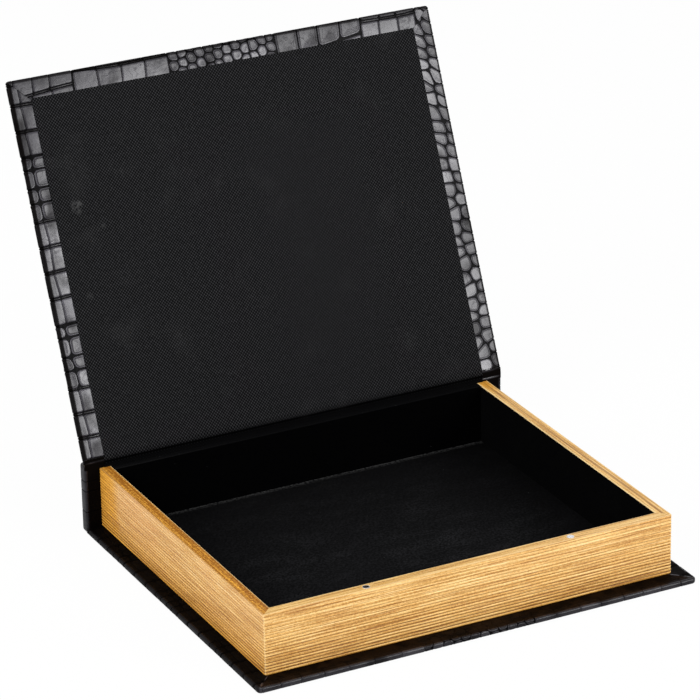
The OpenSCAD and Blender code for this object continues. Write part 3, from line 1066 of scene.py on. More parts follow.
for number, (node, facing, wall) in enumerate(VELVETS):
    low, high = corner(node)
    on_floor = node == "floor_lining"
    swell = FLOOR_SWELL if on_floor else WALL_SWELL
    mesh = soft_slab(node, low, high, facing, VELVET_PITCH, swell, 11 + number, velvet)
    if on_floor:
        to_back = np.array([high[1] - v.co.y for v in mesh.vertices])
        to_right = np.array([high[0] - v.co.x for v in mesh.vertices])
        add_number(mesh, "rim", hill(to_back, 0.5, 0.5))
        add_number(mesh, "lay", floor_sheen_in_shade(to_back, to_right))
    else:
        add_number(mesh, "lay", BACK_SHEEN_IN_SHADE if node == "back_lining" else WALL_SHEEN)
    piece = put_in_scene(f"velvet_{node}", mesh, "base", [node])

# %% [markdown]
# The lid is drawn closed and then turned open about the hinge line. The turn is one matrix,
# and its inverse tells where the lid's pieces lie on the closed box.

# %% The lid's turn
to_hinge = Matrix.Translation(hinge_line)
open_turn = (to_hinge @ Matrix.Rotation(math.radians(-open_angle), 4, "X")
             @ to_hinge.inverted())


def closed_corner(node):
    """A lid node's lowest and highest corners on the closed box, in millimetres."""
    back = open_turn.inverted()
    points = np.array([back @ (v.co / MM) for v in frame["nodes"][node].data.vertices])
    return points.min(0), points.max(0)


cloth_low, cloth_high = closed_corner("lid_lining")
lid_low, lid_high = closed_corner("lid_leather")
print("closed lid:", np.round(lid_low, 2), np.round(lid_high, 2))

# %% Cloth in the lid
# from thread to thread along the box and up the lid, in mm
THREADS = (0.91, 0.97)
CLOTH_PITCH, CLOTH_SWELL = 4.5, 0.05
mesh = soft_slab("lid_cloth", cloth_low, cloth_high, "-z", CLOTH_PITCH, CLOTH_SWELL, 31, cloth,
                 THREADS)
mesh.transform(open_turn)
lid_cloth = put_in_scene("cloth_lid_lining", mesh, "lid", ["lid_lining"])

# %% [markdown]
# The crocodile grain is pressed into the leather: broad belly tiles in rows, narrower rows of
# rounded tiles, and bands of small pebbles. Every scale starts as a flat outline on the
# unrolled hide, in millimetres: u runs along the box and v from the fore-edge to the spine.
# Rows and columns come from short lists, and a gentle sway keeps the lines from being ruled.

# %% Outline of one tile
LONGEST_SIDE = 3.6


def refined(points, longest):
    """The outline with points added on its long sides."""
    result = []
    for a, b in zip(points, np.roll(points, -1, 0)):
        parts = max(1, round(float(np.hypot(*(b - a))) / longest))
        result += [a + (b - a) * k / parts for k in range(parts)]
    return np.array(result)


def tile_outline(corners, gaps, corner_r, arc_points=4, least_r=0.4):
    """A tile with rounded corners between four corner points, with a gap on every side."""
    low_left, low_right, high_right, high_left = (np.array(c) for c in corners)
    left, right, low, high = gaps
    width = (low_right[0] - low_left[0] + high_right[0] - high_left[0]) / 2
    height = (high_left[1] - low_left[1] + high_right[1] - low_right[1]) / 2
    u0, u1, v0, v1 = left, width - right, low, height - high
    r = min(corner_r, (u1 - u0) / 2.2, (v1 - v0) / 2.2)
    if r < least_r:
        return None
    outline = []
    for centre_u, centre_v, first in ((u1 - r, v1 - r, 0), (u0 + r, v1 - r, 90),
                                      (u0 + r, v0 + r, 180), (u1 - r, v0 + r, 270)):
        for k in range(arc_points):
            angle = math.radians(first + 90 * k / (arc_points - 1))
            outline.append((centre_u + r * math.cos(angle), centre_v + r * math.sin(angle)))
    outline = refined(np.array(outline), LONGEST_SIDE)
    s, t = outline[:, :1] / width, outline[:, 1:] / height
    return ((1 - s) * (1 - t) * low_left + s * (1 - t) * low_right + s * t * high_right
            + (1 - s) * t * high_left)


square = tile_outline(((0, 0), (12, 0), (12, 14), (0, 14)), (0, 0, 0, 0), 1.1)
print("a tile of 12 by 14 mm has", len(square), "points")

# %% Outlines of belly tiles
# half widths of the wide grooves and the thin creases that part the tiles of a row
GROOVE_HALF, CREASE_HALF = 0.40, 0.03
# how far the two ends of a crease wander along u
CREASE_PLAY = 1.1
# a row taller than this is of broad tiles, the others of narrow ones
BROAD_ROW = 11.0
# half gap to the next row, corner radius and points of a corner's arc
BROAD_TILE, NARROW_TILE = (0.80, 1.1, 3), (0.4, 2.5, 5)
NARROW_GAP_HALF = 0.3
# half height, gap at the ends, corner radius, arc points and least radius of the low seam
# that lies between two broad rows
RIDGE_HALF, RIDGE_GAP, RIDGE_CORNER = 0.50, 0.1, (0.45, 2, 0.3)


def belly_tiles(lines, rows, draw):
    """Tiles of one belly block. lines: places and half gaps of its cross creases; rows:
    the v of every row boundary at the block's left and right end."""
    first, last = lines[0][0], lines[-1][0]

    def boundary(row, u):
        """The v of a row's boundary at u."""
        share = (u - first) / (last - first)
        return row[0] * (1 - share) + row[1] * share

    tiles = []
    for upper, lower in zip(rows, rows[1:]):
        broad = min(upper[0] - lower[0], upper[1] - lower[1]) > BROAD_ROW
        row_gap, corner_r, arc_points = BROAD_TILE if broad else NARROW_TILE
        bent = []
        for place, half_gap in lines:
            play = CREASE_PLAY if half_gap == CREASE_HALF else 0
            bent.append((place + draw.uniform(-play, play), place + draw.uniform(-play, play),
                         half_gap))
        for (top_a, low_a, gap_a), (top_b, low_b, gap_b) in zip(bent, bent[1:]):
            if not broad:
                gap_a, gap_b = (max(gap, NARROW_GAP_HALF) for gap in (gap_a, gap_b))
            corners = [(low_a, boundary(lower, low_a)), (low_b, boundary(lower, low_b)),
                       (top_b, boundary(upper, top_b)), (top_a, boundary(upper, top_a))]
            outline = tile_outline(corners, (gap_a, gap_b, row_gap, row_gap), corner_r,
                                   arc_points)
            if outline is not None:
                tiles.append((outline, "broad" if broad else "narrow"))
            if broad:
                low_end, high_end = (np.array((u, boundary(lower, u))) for u in (low_a, low_b))
                lift = np.array((0, RIDGE_HALF))
                corners = (low_end - lift, high_end - lift, high_end + lift, low_end + lift)
                gaps = (RIDGE_GAP + gap_a, RIDGE_GAP + gap_b, 0, 0)
                tiles.append((tile_outline(corners, gaps, *RIDGE_CORNER), "ridge"))
    return tiles


# %% Outline of one pebble
PEBBLE_POINTS = 14
# half of the gap between two pebbles
PEBBLE_GAP = 0.2
# share of each side that softening a corner takes
CORNER_CUT = 0.2
# no pebble reaches farther than this from its centre
CELL_REACH = 7
NEIGHBOURS = [(i, j) for i in (-1, 0, 1) for j in (-2, -1, 0, 1, 2) if (i, j) != (0, 0)]


def cut_outline(points, normal, reach):
    """The part of an outline on the near side of a line."""
    kept = []
    for a, b in zip(points, points[1:] + points[:1]):
        side_a, side_b = np.dot(a, normal) - reach, np.dot(b, normal) - reach
        if side_a <= 0:
            kept.append(a)
        if (side_a < 0) != (side_b < 0):
            kept.append(a + (b - a) * side_a / (side_a - side_b))
    return kept


def softened(points, count):
    """Cuts the corners twice and spaces the points evenly."""
    for _ in range(2):
        after = np.roll(points, -1, 0)
        points = np.stack([points * (1 - CORNER_CUT) + after * CORNER_CUT,
                           points * CORNER_CUT + after * (1 - CORNER_CUT)], 1).reshape(-1, 2)
    closed = np.vstack([points, points[:1]])
    walked = np.concatenate([[0], np.cumsum(np.hypot(*np.diff(closed, axis=0).T))])
    stops = np.linspace(0, walked[-1], count, endpoint=False)
    return np.stack([np.interp(stops, walked, closed[:, i]) for i in (0, 1)], -1)


def pebble_cell(centres, column, number, u_low, u_high):
    """The room round one centre: what is nearer to it than to any neighbour."""
    centre = centres[column, number]
    low, high = centre[1] - CELL_REACH, centre[1] + CELL_REACH
    cell = [np.array(p) for p in ((u_low, low), (u_high, low), (u_high, high), (u_low, high))]
    for i, j in NEIGHBOURS:
        other = centres.get((column + i, number + j))
        if other is not None and len(cell) > 2:
            normal = (other - centre) / np.hypot(*(other - centre))
            cell = cut_outline(cell, normal,
                               np.dot((other + centre) / 2, normal) - PEBBLE_GAP)
    return cell


# %% Outlines of a band of pebbles
COLUMN_STEP = 0.28
PLAY_ALONG, PLAY_ACROSS = 0.17, 0.14
# v at which a slanting band starts to slant, and how far it takes to slant in full
SLANT_FROM, SLANT_OVER = 60, 120


def pebbles(band, v_low, v_high, draw):
    """Rounded cells round jittered centres, each kept clear of its neighbours' halves."""
    u_low, u_high, width, height, slant, uneven = band
    columns = max(2, round((u_high - u_low) / width))
    step = (u_high - u_low) / columns
    centres = {}
    for i in range(-1, columns + 1):
        for j in range(-1, int((v_high - v_low) / height) + 2):
            lift = COLUMN_STEP * i % 1 + draw.uniform(-PLAY_ALONG, PLAY_ALONG) * uneven
            across = i + 0.5 + draw.uniform(-PLAY_ACROSS, PLAY_ACROSS) * uneven
            centres[i, j] = np.array([u_low + across * step, v_low + (j + lift) * height])
    cells = []
    for i, j in centres:
        cell = pebble_cell(centres, i, j, u_low, u_high) if 0 <= i < columns else []
        if len(cell) > 2:
            points = softened(np.array(cell), PEBBLE_POINTS)
            towards_front = np.clip((SLANT_FROM - points[:, 1]) / SLANT_OVER, 0, 1)
            points[:, 1] -= slant * (points[:, 0] - (u_low + u_high) / 2) * towards_front
            cells.append((points, "pebble"))
    return cells


# %% [markdown]
# A hide pattern for each board is the same recipe with other rows. The wide grooves at
# certain places along u go through all rows; between them thin creases part the tiles.

# %% Laying out a hide
WIDE_LINES = (-91.0, -34.0, 31.5, 85.0, 119.5)
BELLY_BLOCKS = (
    (-150.0, -136.8, -126.0, -115.0, -104.0, -91.0),
    (-91.0, -77.0, -62.5, -48.0, -34.0),
    (31.5, 45.0, 58.5, 71.5, 85.0),
    (85.0, 96.5, 108.0, 119.5))
# start, end, width and height of a pebble, slant and unevenness of each band
PEBBLE_BANDS = ((-34.0, 31.5, 5.5, 5.9, 0.0, 1.0), (119.5, 155.5, 9.0, 7.2, 0.45, 1.5))


def row_edges(start, heights):
    """The v of the row boundaries, from the top down, at a block's two ends."""
    edges = [(start, start)]
    for height in heights:
        edges.append((edges[-1][0] - height, edges[-1][1] - height))
    return edges


def hide_scales(rows_of_block, v_low, v_high, seed, blocks=BELLY_BLOCKS, bands=PEBBLE_BANDS,
                wide=GROOVE_HALF):
    """All scale outlines of a hide, before the sway."""
    draw = random.Random(seed)
    scales = []
    for block, rows in zip(blocks, rows_of_block):
        lines = [(u, wide if u in WIDE_LINES else CREASE_HALF) for u in block]
        scales += belly_tiles(lines, rows, draw)
    for band in bands:
        scales += pebbles(band, v_low - 8, v_high + 8, draw)
    return scales


print("belly blocks:", len(BELLY_BLOCKS), "pebble bands:", len(PEBBLE_BANDS))

# %% A gentle sway
# the open face ends here, and the strong sway fades out over this band before it
CALM_FROM, CALM_BAND = 122.0, 22.0


def sway(points):
    """Bends the ruled lines by a few slow waves: gently at the turned-in edges, and more on
    the open face."""
    u, v = points[:, 0], points[:, 1]
    open_face = (np.clip((CALM_FROM - np.abs(u)) / CALM_BAND, 0, 1)
                 * np.clip((CALM_FROM - 20 - np.abs(v)) / CALM_BAND, 0, 1))
    wide = 2.6 * np.sin(u / 21 + 0.8 * np.sin(v / 33)) + 1.5 * np.sin(u / 8.7 + v / 27 + 1)
    tall = 1.8 * np.sin(v / 19 + u / 45) + 1.1 * np.sin(v / 8.1 + u / 23 + 2)
    return np.stack([u + 0.5 * np.sin(v / 17 + 1.0) + 0.35 * np.sin(v / 7.3 + u / 31)
                     + open_face * tall,
                     v + 0.6 * np.sin(u / 24 + 0.5) + 0.35 * np.sin(u / 9.5 + v / 40 + 2)
                     + open_face * wide], -1)


# %% [markdown]
# A node tree presses the scales: every outline is a face, and three extrusions raise it in
# steps. Each step pulls the outline inwards along a stored direction, so that the shoulder of
# a scale is round. The last step lifts a broad tile a little, and dents the middle of a
# narrow tile or a pebble.

# %% Embossing tree
# height of a scale, how far its foot is sunk in the sheet, and the leather's thickness
SCALE_RISE = 0.34
SUNK = 0.05
LEATHER_T = 0.6
# how far in the first two steps go, in mm
SHOULDER_INSETS = (0.11, 0.19)
# inset of the last ring, its rise and the depth of the dent there, for each kind of scale
CENTRES = {"ridge": (0.04, 0.0, 0.0), "broad": (0.8, 0.03, 0.0),
           "narrow": (1.5, -0.20, 1.0), "pebble": (1.15, -0.12, 1.0)}


def emboss_tree():
    """Raises every outline in three rings and closes it with a foot."""
    size = shape_tree("press_scales", {
        "Rise": SCALE_RISE + SUNK, "Shoulder": SHOULDER_INSETS[0],
        "Slope": SHOULDER_INSETS[1]})
    shape = size["Shape"]

    def carried(name, kind="FLOAT"):
        """What the outlines carry under a name."""
        return shape.node("GeometryNodeInputNamedAttribute", {"data_type": kind}, {"Name": name})

    inward = carried("inward", "FLOAT_VECTOR")
    height = size["Rise"] * carried("height")
    # inset and lift of each ring, and its crown
    rings = ((size["Shoulder"], height * 0.66, 0.5), (size["Slope"], height * 0.31, 1.0),
             (carried("centre_inset"), carried("centre_rise"), 1.0))
    geometry, top = shape, None
    for inset, lift, crown in rings:
        inputs = {"Mesh": geometry, "Offset Scale": 0.0, "Individual": True}
        if top is not None:
            inputs["Selection"] = top
        raised = shape.node("GeometryNodeExtrudeMesh", {"mode": "FACES"}, inputs)
        top = raised.other("Top")
        up = shape.node("ShaderNodeCombineXYZ", inputs={2: lift})
        pulled = shape.node("ShaderNodeVectorMath", {"operation": "SCALE"}, {
            0: inward, "Scale": inset})
        step = shape.vector("ADD", pulled, up)
        geometry = shape.node("GeometryNodeSetPosition", inputs={
            "Geometry": raised, "Selection": top, "Offset": step})
        geometry = store(geometry, "crown", crown + (1.0 - crown) * carried("soft"),
                         selection=top)
    geometry = store(geometry, "dent", carried("centre_dent"), selection=top)
    foot = shape.node("GeometryNodeFlipFaces", inputs={"Mesh": shape})
    both = shape.node("GeometryNodeJoinGeometry")
    join = both.socket.node.inputs[0]
    for part in (foot, geometry):
        shape.tree.links.new(part.socket, join)
    closed = shape.node("GeometryNodeMergeByDistance", inputs={
        "Geometry": both, "Distance": 0.001})
    return end_tree(closed, leather)


press = emboss_tree()
print("embossing tree:", len(press.nodes), "nodes")

# %% Facts about every scale
# how far a scale's gloss may tilt
LEAN = 0.035
# the low seam between two broad rows catches less light than the tiles
RIDGE_TONE = -1.7
# the u of the faint crease along the middle of the lid's side flap, its half width and how
# much of a groove's darkness it loses
SOFT_CREASE, SOFT_REACH, SOFTNESS = 136.8, 1.7, 0.8
# a scale's least inset, and the share of the room inside its outline that the rings may take
LEAST_INSET, ROOM_SHARE = 0.1, 0.95
# height of the lowest scale, as a share of the highest's
LOWEST_SCALE = 0.93
FACT_NAMES = ("height", "centre_inset", "centre_rise", "centre_dent", "tone", "dent", "crown",
              "soft")


def inward_room(outline, pull):
    """How far the outline's points can move inwards before any two of them meet."""
    side = np.roll(outline, -1, 0) - outline
    length = np.hypot(*side.T)
    closing = -((np.roll(pull, -1, 0) - pull) * side).sum(1) / length
    return (length[closing > 1e-6] / closing[closing > 1e-6]).min()


def inward_pull(outline):
    """For each point, the way in that moves both of its sides inwards by 1."""
    before, after = np.roll(outline, 1, 0), np.roll(outline, -1, 0)
    normals = []
    for start, end in ((before, outline), (outline, after)):
        side = (end - start) / np.hypot(*(end - start).T)[:, None]
        normals.append(np.stack([-side[:, 1], side[:, 0]], -1))
    return (normals[0] + normals[1]) / (1 + (normals[0] * normals[1]).sum(1))[:, None]


def outline_mesh(scales, seed, rise, least_soft):
    """One face for each scale, with what the tree and the finish need to know about it."""
    draw = random.Random(seed)
    points, faces, inward, leans, facts = [], [], [], [], []
    for outline, kind in scales:
        on_crease = np.abs(np.abs(outline[:, 0]) - SOFT_CREASE) < SOFT_REACH
        soft = np.maximum(SOFTNESS * (kind != "pebble") * on_crease, least_soft)
        outline = sway(outline)
        pull = inward_pull(outline)
        faces.append(list(range(len(points), len(points) + len(outline))))
        points += [(u, v, -rise - SUNK) for u, v in outline]
        inward += [(u, v, 0) for u, v in pull]
        inset, centre_rise, dent = CENTRES[kind]
        room = inward_room(outline, pull) * ROOM_SHARE - sum(SHOULDER_INSETS)
        fact = (draw.uniform(LOWEST_SCALE, 1.0), min(inset, max(LEAST_INSET, room)),
                centre_rise * rise / SCALE_RISE, dent * draw.choice((1, 1, 1, 0)),
                draw.random() + (RIDGE_TONE if kind == "ridge" else 0.0), 0)
        facts += [(*fact, value, value) for value in soft]
        leans += [[draw.gauss(0, LEAN) for _ in range(3)]] * len(outline)
    mesh = bpy.data.meshes.new("outlines")
    mesh.from_pydata(points, [], faces)
    for name, column in zip(FACT_NAMES, np.array(facts, np.float32).T):
        add_number(mesh, name, column)
    for name, vectors in (("inward", inward), ("lean", leans)):
        mesh.attributes.new(name, "FLOAT_VECTOR", "POINT").data.foreach_set(
            "vector", np.array(vectors, np.float32).ravel())
    return mesh


# %% [markdown]
# The pressed hide lies flat, and the boards need it folded round their edges. A fold is a
# rule for where a point goes: past the fold line it follows a quarter circle, the edge of
# the board, another quarter circle and then the inner face. The hide is cut along the lines
# where the rule changes, so that no face spans a bend, and mitred where two folds meet.

# %% Cutting a hide
def cut(work, point, normal, clear=False, cap=False, faces=None):
    """Cuts through a plane, and clears what lies on the normal's side of it."""
    if faces is None:
        parts = work.verts[:] + work.edges[:] + work.faces[:]
    else:
        parts = [*dict.fromkeys(v for f in faces for v in f.verts),
                 *dict.fromkeys(e for f in faces for e in f.edges), *faces]
    done = bmesh.ops.bisect_plane(work, geom=parts, dist=1e-5, plane_co=point,
                                  plane_no=normal, clear_outer=clear)
    if cap:
        rim = [e for e in done["geom_cut"]
               if isinstance(e, bmesh.types.BMEdge) and e.is_boundary]
        bmesh.ops.holes_fill(work, edges=rim, sides=0)


# %% The sheet between the scales
# the sheet's underside stays this far off the board
UNDERSIDE_GAP = 0.02


def base_sheet(work, u_low, u_high, v_low, v_high, rise, pitch=9.0):
    """The sheet between the scales, as a closed slab of flat squares."""
    columns = round((u_high - u_low) / pitch)
    rows = max(2, round((v_high - v_low) / pitch))
    grid = {}
    for layer, level in enumerate((UNDERSIDE_GAP - LEATHER_T, -rise)):
        for i in range(columns + 1):
            for j in range(rows + 1):
                grid[layer, i, j] = work.verts.new((
                    u_low + (u_high - u_low) * i / columns,
                    v_low + (v_high - v_low) * j / rows, level))
    for i in range(columns):
        for j in range(rows):
            low = [grid[0, a, b] for a, b in ((i, j), (i, j + 1), (i + 1, j + 1), (i + 1, j))]
            high = [grid[1, a, b] for a, b in ((i, j), (i + 1, j), (i + 1, j + 1), (i, j + 1))]
            work.faces.new(low)
            work.faces.new(high)
    border = ([(i, 0) for i in range(columns)] + [(columns, j) for j in range(rows)]
              + [(i, rows) for i in range(columns, 0, -1)] + [(0, j) for j in range(rows, 0, -1)])
    for a, b in zip(border, border[1:] + border[:1]):
        work.faces.new([grid[0, *a], grid[0, *b], grid[1, *b], grid[1, *a]])


# %% Folding round an edge
# flat parts that stand for each quarter circle
FOLD_PARTS = 3


def folded(s, level, r, thick):
    """Where points go that lie s past a fold's start: sideways and up."""
    quarter = math.pi * r / 2
    straight = thick - 2 * r
    first = np.clip(s, 0, quarter) / r
    second = np.clip(s - quarter - straight, 0, quarter) / r
    down = np.clip(s - quarter, 0, straight)
    inner = np.clip(s - 2 * quarter - straight, 0, None)
    turn = first + second
    lateral = -r + r * np.sin(first) - r * (1 - np.cos(second)) - inner
    depth = r * (1 - np.cos(first)) + down + r * np.sin(second)
    outward, up = np.sin(turn), np.cos(turn)
    flat = np.where(s < 0, s, 0)
    return lateral + flat + outward * level, -depth + up * level


def fold_knots(r, thick, end):
    """How far past its start a fold bends."""
    quarter = math.pi * r / 2
    straight = thick - 2 * r
    knots = [quarter * k / FOLD_PARTS for k in range(FOLD_PARTS + 1)]
    knots += [quarter + straight + quarter * k / FOLD_PARTS for k in range(FOLD_PARTS + 1)]
    return [k for k in knots if k < end - 0.01]


def fold_length(turn_in, r, thick):
    """How much sheet a fold takes whose inner flap reaches turn_in past the board's edge."""
    return math.pi * r + thick - 2 * r + turn_in - r


# %% [markdown]
# A cover says how one board is wrapped. Its flaps are cut out of copies of the hide, folded
# one by one and cut at 45 degrees where two of them meet, as a bookbinder cuts the corners of
# real leather. Then the parts are merged, and the corners are pulled round.

# %% A board's cover
EDGE_R = 1.0
SIDES = ("left", "right", "low", "high")


class Cover:
    """A board seen from outside: half width, v of both ends, radius of the corners of its
    plan, and its folds, each a radius, the thickness folded round and a length of hide."""

    def __init__(self, half_width, v_low, v_high, plan_r, side, low=None, high=None):
        self.half_width, self.v_low, self.v_high, self.plan_r = half_width, v_low, v_high, plan_r
        self.side, self.low, self.high = side, low, high
        # how glossy the outside, the edges, the turned-in flaps and the mitres have stayed
        self.outer_polish = 0.7
        self.edge_polish = dict.fromkeys(SIDES, 0.15)
        self.inner_polish = dict.fromkeys(SIDES, 0.80)
        self.mitre_polish = 0.4
        # how much painted brown reflection of the gilt walls a flap carries, and how far the dull edge
        # reaches onto it, in mm
        self.brown = {}
        self.dark_rim = {}

    def ends_alike(self):
        """Whether both ends are folded with the same radius."""
        return bool(self.high) and self.high[0] == self.low[0]


class Flap:
    """One side of a cover: where its fold starts, which way it runs and where it is dull."""

    def __init__(self, cover, name, fold):
        self.name = name
        self.radius, self.thick, self.end = fold
        self.axis = 0 if name in ("left", "right") else 1
        self.sign = 1 if name in ("right", "high") else -1
        self.edge = {"left": -cover.half_width, "right": cover.half_width,
                     "low": cover.v_low, "high": cover.v_high}[name]
        self.start = self.edge - self.sign * self.radius
        self.dark_until = ((math.pi - 2) * self.radius + self.thick
                           + cover.dark_rim.get(name, 0.3))

    def point(self, place):
        """A point of the flat hide at a place along the flap's own axis, u or v."""
        return Vector((place, 0, 0)) if self.axis == 0 else Vector((0, place, 0))

    def past(self, walked):
        """The same for a way past the fold's start."""
        return self.point(self.start + self.sign * walked)


# %% Cutting and folding a flap
# cuts across the rounded corners, so that they can bend
CORNER_CUTS = 4
# the dull edge of a flap brightens over this way
RIM_FADE = 0.5
# from the dull edge inwards, a flap grows glossier over this way
GLOSS_REACH = 11


def cut_flap(cover, hide, flap):
    """A copy of the hide cut down to one flap, and cut at every bend."""
    work = hide.copy()
    outward = flap.point(flap.sign)
    cut(work, flap.point(flap.start), -outward, clear=True)
    cut(work, flap.past(flap.end), outward, clear=True, cap=True)
    corner_steps = [cover.plan_r * k / CORNER_CUTS for k in range(1, CORNER_CUTS + 1)]
    if flap.axis == 0:
        cut(work, (0, cover.v_low, 0), (0, -1, 0), clear=True, cap=True)
        cut(work, (0, cover.v_high, 0), (0, 1, 0), clear=True, cap=True)
        places = [cover.v_low + step for step in corner_steps]
        if cover.ends_alike():
            places += [cover.v_high - step for step in corner_steps]
        for v in places:
            cut(work, (0, v, 0), (0, 1, 0))
    else:
        for side in (-1, 1):
            cut(work, (side * cover.half_width, 0, 0), (side, 0, 0), clear=True, cap=True)
            for step in corner_steps:
                cut(work, (side * (cover.half_width - step), 0, 0), (1, 0, 0))
    rims = [k for k in (flap.dark_until, flap.dark_until + RIM_FADE) if k < flap.end - 0.5]
    for knot in fold_knots(flap.radius, flap.thick, flap.end)[1:] + rims:
        cut(work, flap.past(knot), outward)
    return work


def fold_flap(cover, work, flap):
    """Folds a flap round its edge, and notes how glossy and how brown it is."""
    points = np.array([v.co for v in work.verts])
    past = (points[:, flap.axis] - flap.start) * flap.sign
    polish, brown = (work.verts.layers.float[key] for key in ("polish", "brown"))
    for vertex, walked in zip(work.verts, past):
        if walked > 0.01:
            on_edge = walked < flap.dark_until + 0.01
            inwards = min(1.0, (walked - flap.dark_until) / GLOSS_REACH)
            inner = cover.inner_polish[flap.name] * (0.75 + 0.4 * inwards)
            vertex[polish] = cover.edge_polish[flap.name] if on_edge else inner
            vertex[brown] = 0.0 if on_edge else cover.brown.get(flap.name, 0.0)
    lateral, level = folded(past, points[:, 2], flap.radius, flap.thick)
    points[:, flap.axis] = flap.edge + flap.sign * lateral
    points[:, 2] = level
    for vertex, place in zip(work.verts, points):
        vertex.co = place


# %% Mitring a flap
# half width of the seam, and width of the fold line beside it
MITRE_GAP = 0.06
MITRE_RIDGE = 0.8


def mitre_flap(cover, work, flap):
    """Cuts both ends of a folded flap at 45 degrees, where it meets its neighbours."""
    polish, crown = (work.verts.layers.float[key] for key in ("polish", "crown"))
    for other_sign in (-1, 1):
        if flap.axis == 0:
            fold = cover.low if other_sign < 0 else cover.high
            if not fold:
                continue
            corner_at = Vector((flap.edge, cover.v_low if other_sign < 0 else cover.v_high, 0))
            normal = Vector((-flap.sign, other_sign, 0)).normalized()
            if fold[1] > flap.thick:
                outer = [f for f in work.faces if f.calc_center_median().z > -flap.thick / 2]
                cut(work, corner_at - normal * MITRE_GAP, normal, clear=True, cap=True,
                    faces=outer)
                continue
        else:
            corner_at = Vector((other_sign * cover.half_width, flap.edge, 0))
            normal = Vector((other_sign, -flap.sign, 0)).normalized()
        cut(work, corner_at - normal * MITRE_GAP, normal, clear=True, cap=True)
        inner = [f for f in work.faces if f.calc_center_median().z < -flap.thick / 2]
        cut(work, corner_at - normal * (MITRE_GAP + MITRE_RIDGE), normal, faces=inner)
        for vertex in work.verts:
            off_seam = abs((vertex.co - corner_at).dot(normal) + MITRE_GAP)
            if vertex.co.z < -flap.thick + 0.1 and off_seam < 0.01:
                vertex[polish] = cover.mitre_polish
                vertex[crown] = 1.0


# %% Wrapping a board
def middle_part(cover, hide):
    """A copy of the hide cut down to what lies flat on the board."""
    work = hide.copy()
    x = cover.half_width - cover.side[0]
    low = cover.v_low + (cover.low[0] if cover.low else 0)
    high = cover.v_high - (cover.high[0] if cover.high else 0)
    cut(work, (x, 0, 0), (1, 0, 0), clear=True)
    cut(work, (-x, 0, 0), (-1, 0, 0), clear=True)
    cut(work, (0, low, 0), (0, -1, 0), clear=True, cap=not cover.low)
    cut(work, (0, high, 0), (0, 1, 0), clear=True, cap=not cover.high)
    return work


def wrap(cover, hide):
    """Cuts a flat hide into its middle and flaps, and folds the flaps round the board."""
    parts = [middle_part(cover, hide)]
    for name, fold in zip(SIDES, (cover.side, cover.side, cover.low, cover.high)):
        if fold:
            flap = Flap(cover, name, fold)
            work = cut_flap(cover, hide, flap)
            fold_flap(cover, work, flap)
            mitre_flap(cover, work, flap)
            parts.append(work)
    whole = bmesh.new()
    for work in parts:
        part = bpy.data.meshes.new("part")
        work.to_mesh(part)
        work.free()
        whole.from_mesh(part)
        bpy.data.meshes.remove(part)
    bmesh.ops.remove_doubles(whole, verts=whole.verts, dist=0.002)
    round_plan(whole, cover)
    return whole


def round_plan(work, cover):
    """Pulls the corner squares of the plan onto quarter circles."""
    r = cover.plan_r
    for vertex in work.verts:
        x, y, z = vertex.co
        p = abs(x) - (cover.half_width - r)
        for edge, sign in ((cover.v_low, -1), (cover.v_high, 1)):
            q = (y - edge) * sign + r
            if p > 0 and q > 0 and (sign < 0 or cover.ends_alike()):
                pull = max(p, q) / math.hypot(p, q)
                vertex.co.x = math.copysign(cover.half_width - r + p * pull, x)
                vertex.co.y = edge + sign * (q * pull - r)


# %% From outlines to a wrapped board
def cover_mesh(name, cover, scales, seed, rise=SCALE_RISE, trim=None, least_soft=0.0):
    """Presses, cuts and folds the leather of one board."""
    side_end = cover.half_width - cover.side[0] + cover.side[2]
    v_low = cover.v_low + (cover.low[0] - cover.low[2] if cover.low else 0)
    v_high = cover.v_high - (cover.high[0] - cover.high[2] if cover.high else 0)
    hide = bmesh.new()
    hide.from_mesh(run_tree(outline_mesh(scales, seed, rise, least_soft), press,
                            {"Rise": rise + SUNK}))
    # a fan over each scale's top keeps it flat when the folds cut through it
    tops = [face for face in hide.faces if len(face.verts) > 4 and face.normal.z > 0.5]
    bmesh.ops.poke(hide, faces=tops)
    print(name, "scales:", len(scales), "hide:", round(2 * side_end, 1), "by",
          round(v_high - v_low, 1), "mm")
    base_sheet(hide, -side_end, side_end, v_low, v_high, rise)
    polish = hide.verts.layers.float.new("polish")
    hide.verts.layers.float.new("brown")
    for vertex in hide.verts:
        vertex[polish] = cover.outer_polish
    for point, normal in (((side_end, 0, 0), (1, 0, 0)), ((-side_end, 0, 0), (-1, 0, 0)),
                          ((0, v_low, 0), (0, -1, 0)), ((0, v_high, 0), (0, 1, 0))):
        cut(hide, point, normal, clear=True, cap=True)
    work = wrap(cover, hide)
    hide.free()
    if trim:
        trim(work)
    mesh = bpy.data.meshes.new(name)
    work.to_mesh(mesh)
    work.free()
    mesh.materials.append(leather)
    mesh.shade_smooth()
    mesh.set_sharp_from_angle(angle=math.radians(60))
    return mesh


# %% Leather of the lid
# heights of the rows of scales, from the joint towards the fore-edge
BELLY_ROWS = (12.7, 13.3, 13.7, 10.0, 7.6, 10.4, 6.8, 14.8, 14.2, 14.0, 14.0, 10.0, 8.0, 10.2,
              7.0, 14.0, 14.6)
# the v of the last row boundaries, at the left and right end of each block
FORE_EDGE_ROWS = (
    ((-107.0, -107.0), (-124.5, -119.3), (-137.0, -133.0)),
    ((-112.5, -112.5), (-127.0, -127.0)),
    ((-110.0, -110.0), (-127.5, -120.0), (-140.0, -134.0)),
    ((-114.2, -113.4), (-128.0, -128.0)))
FIRST_ROW = 12.0
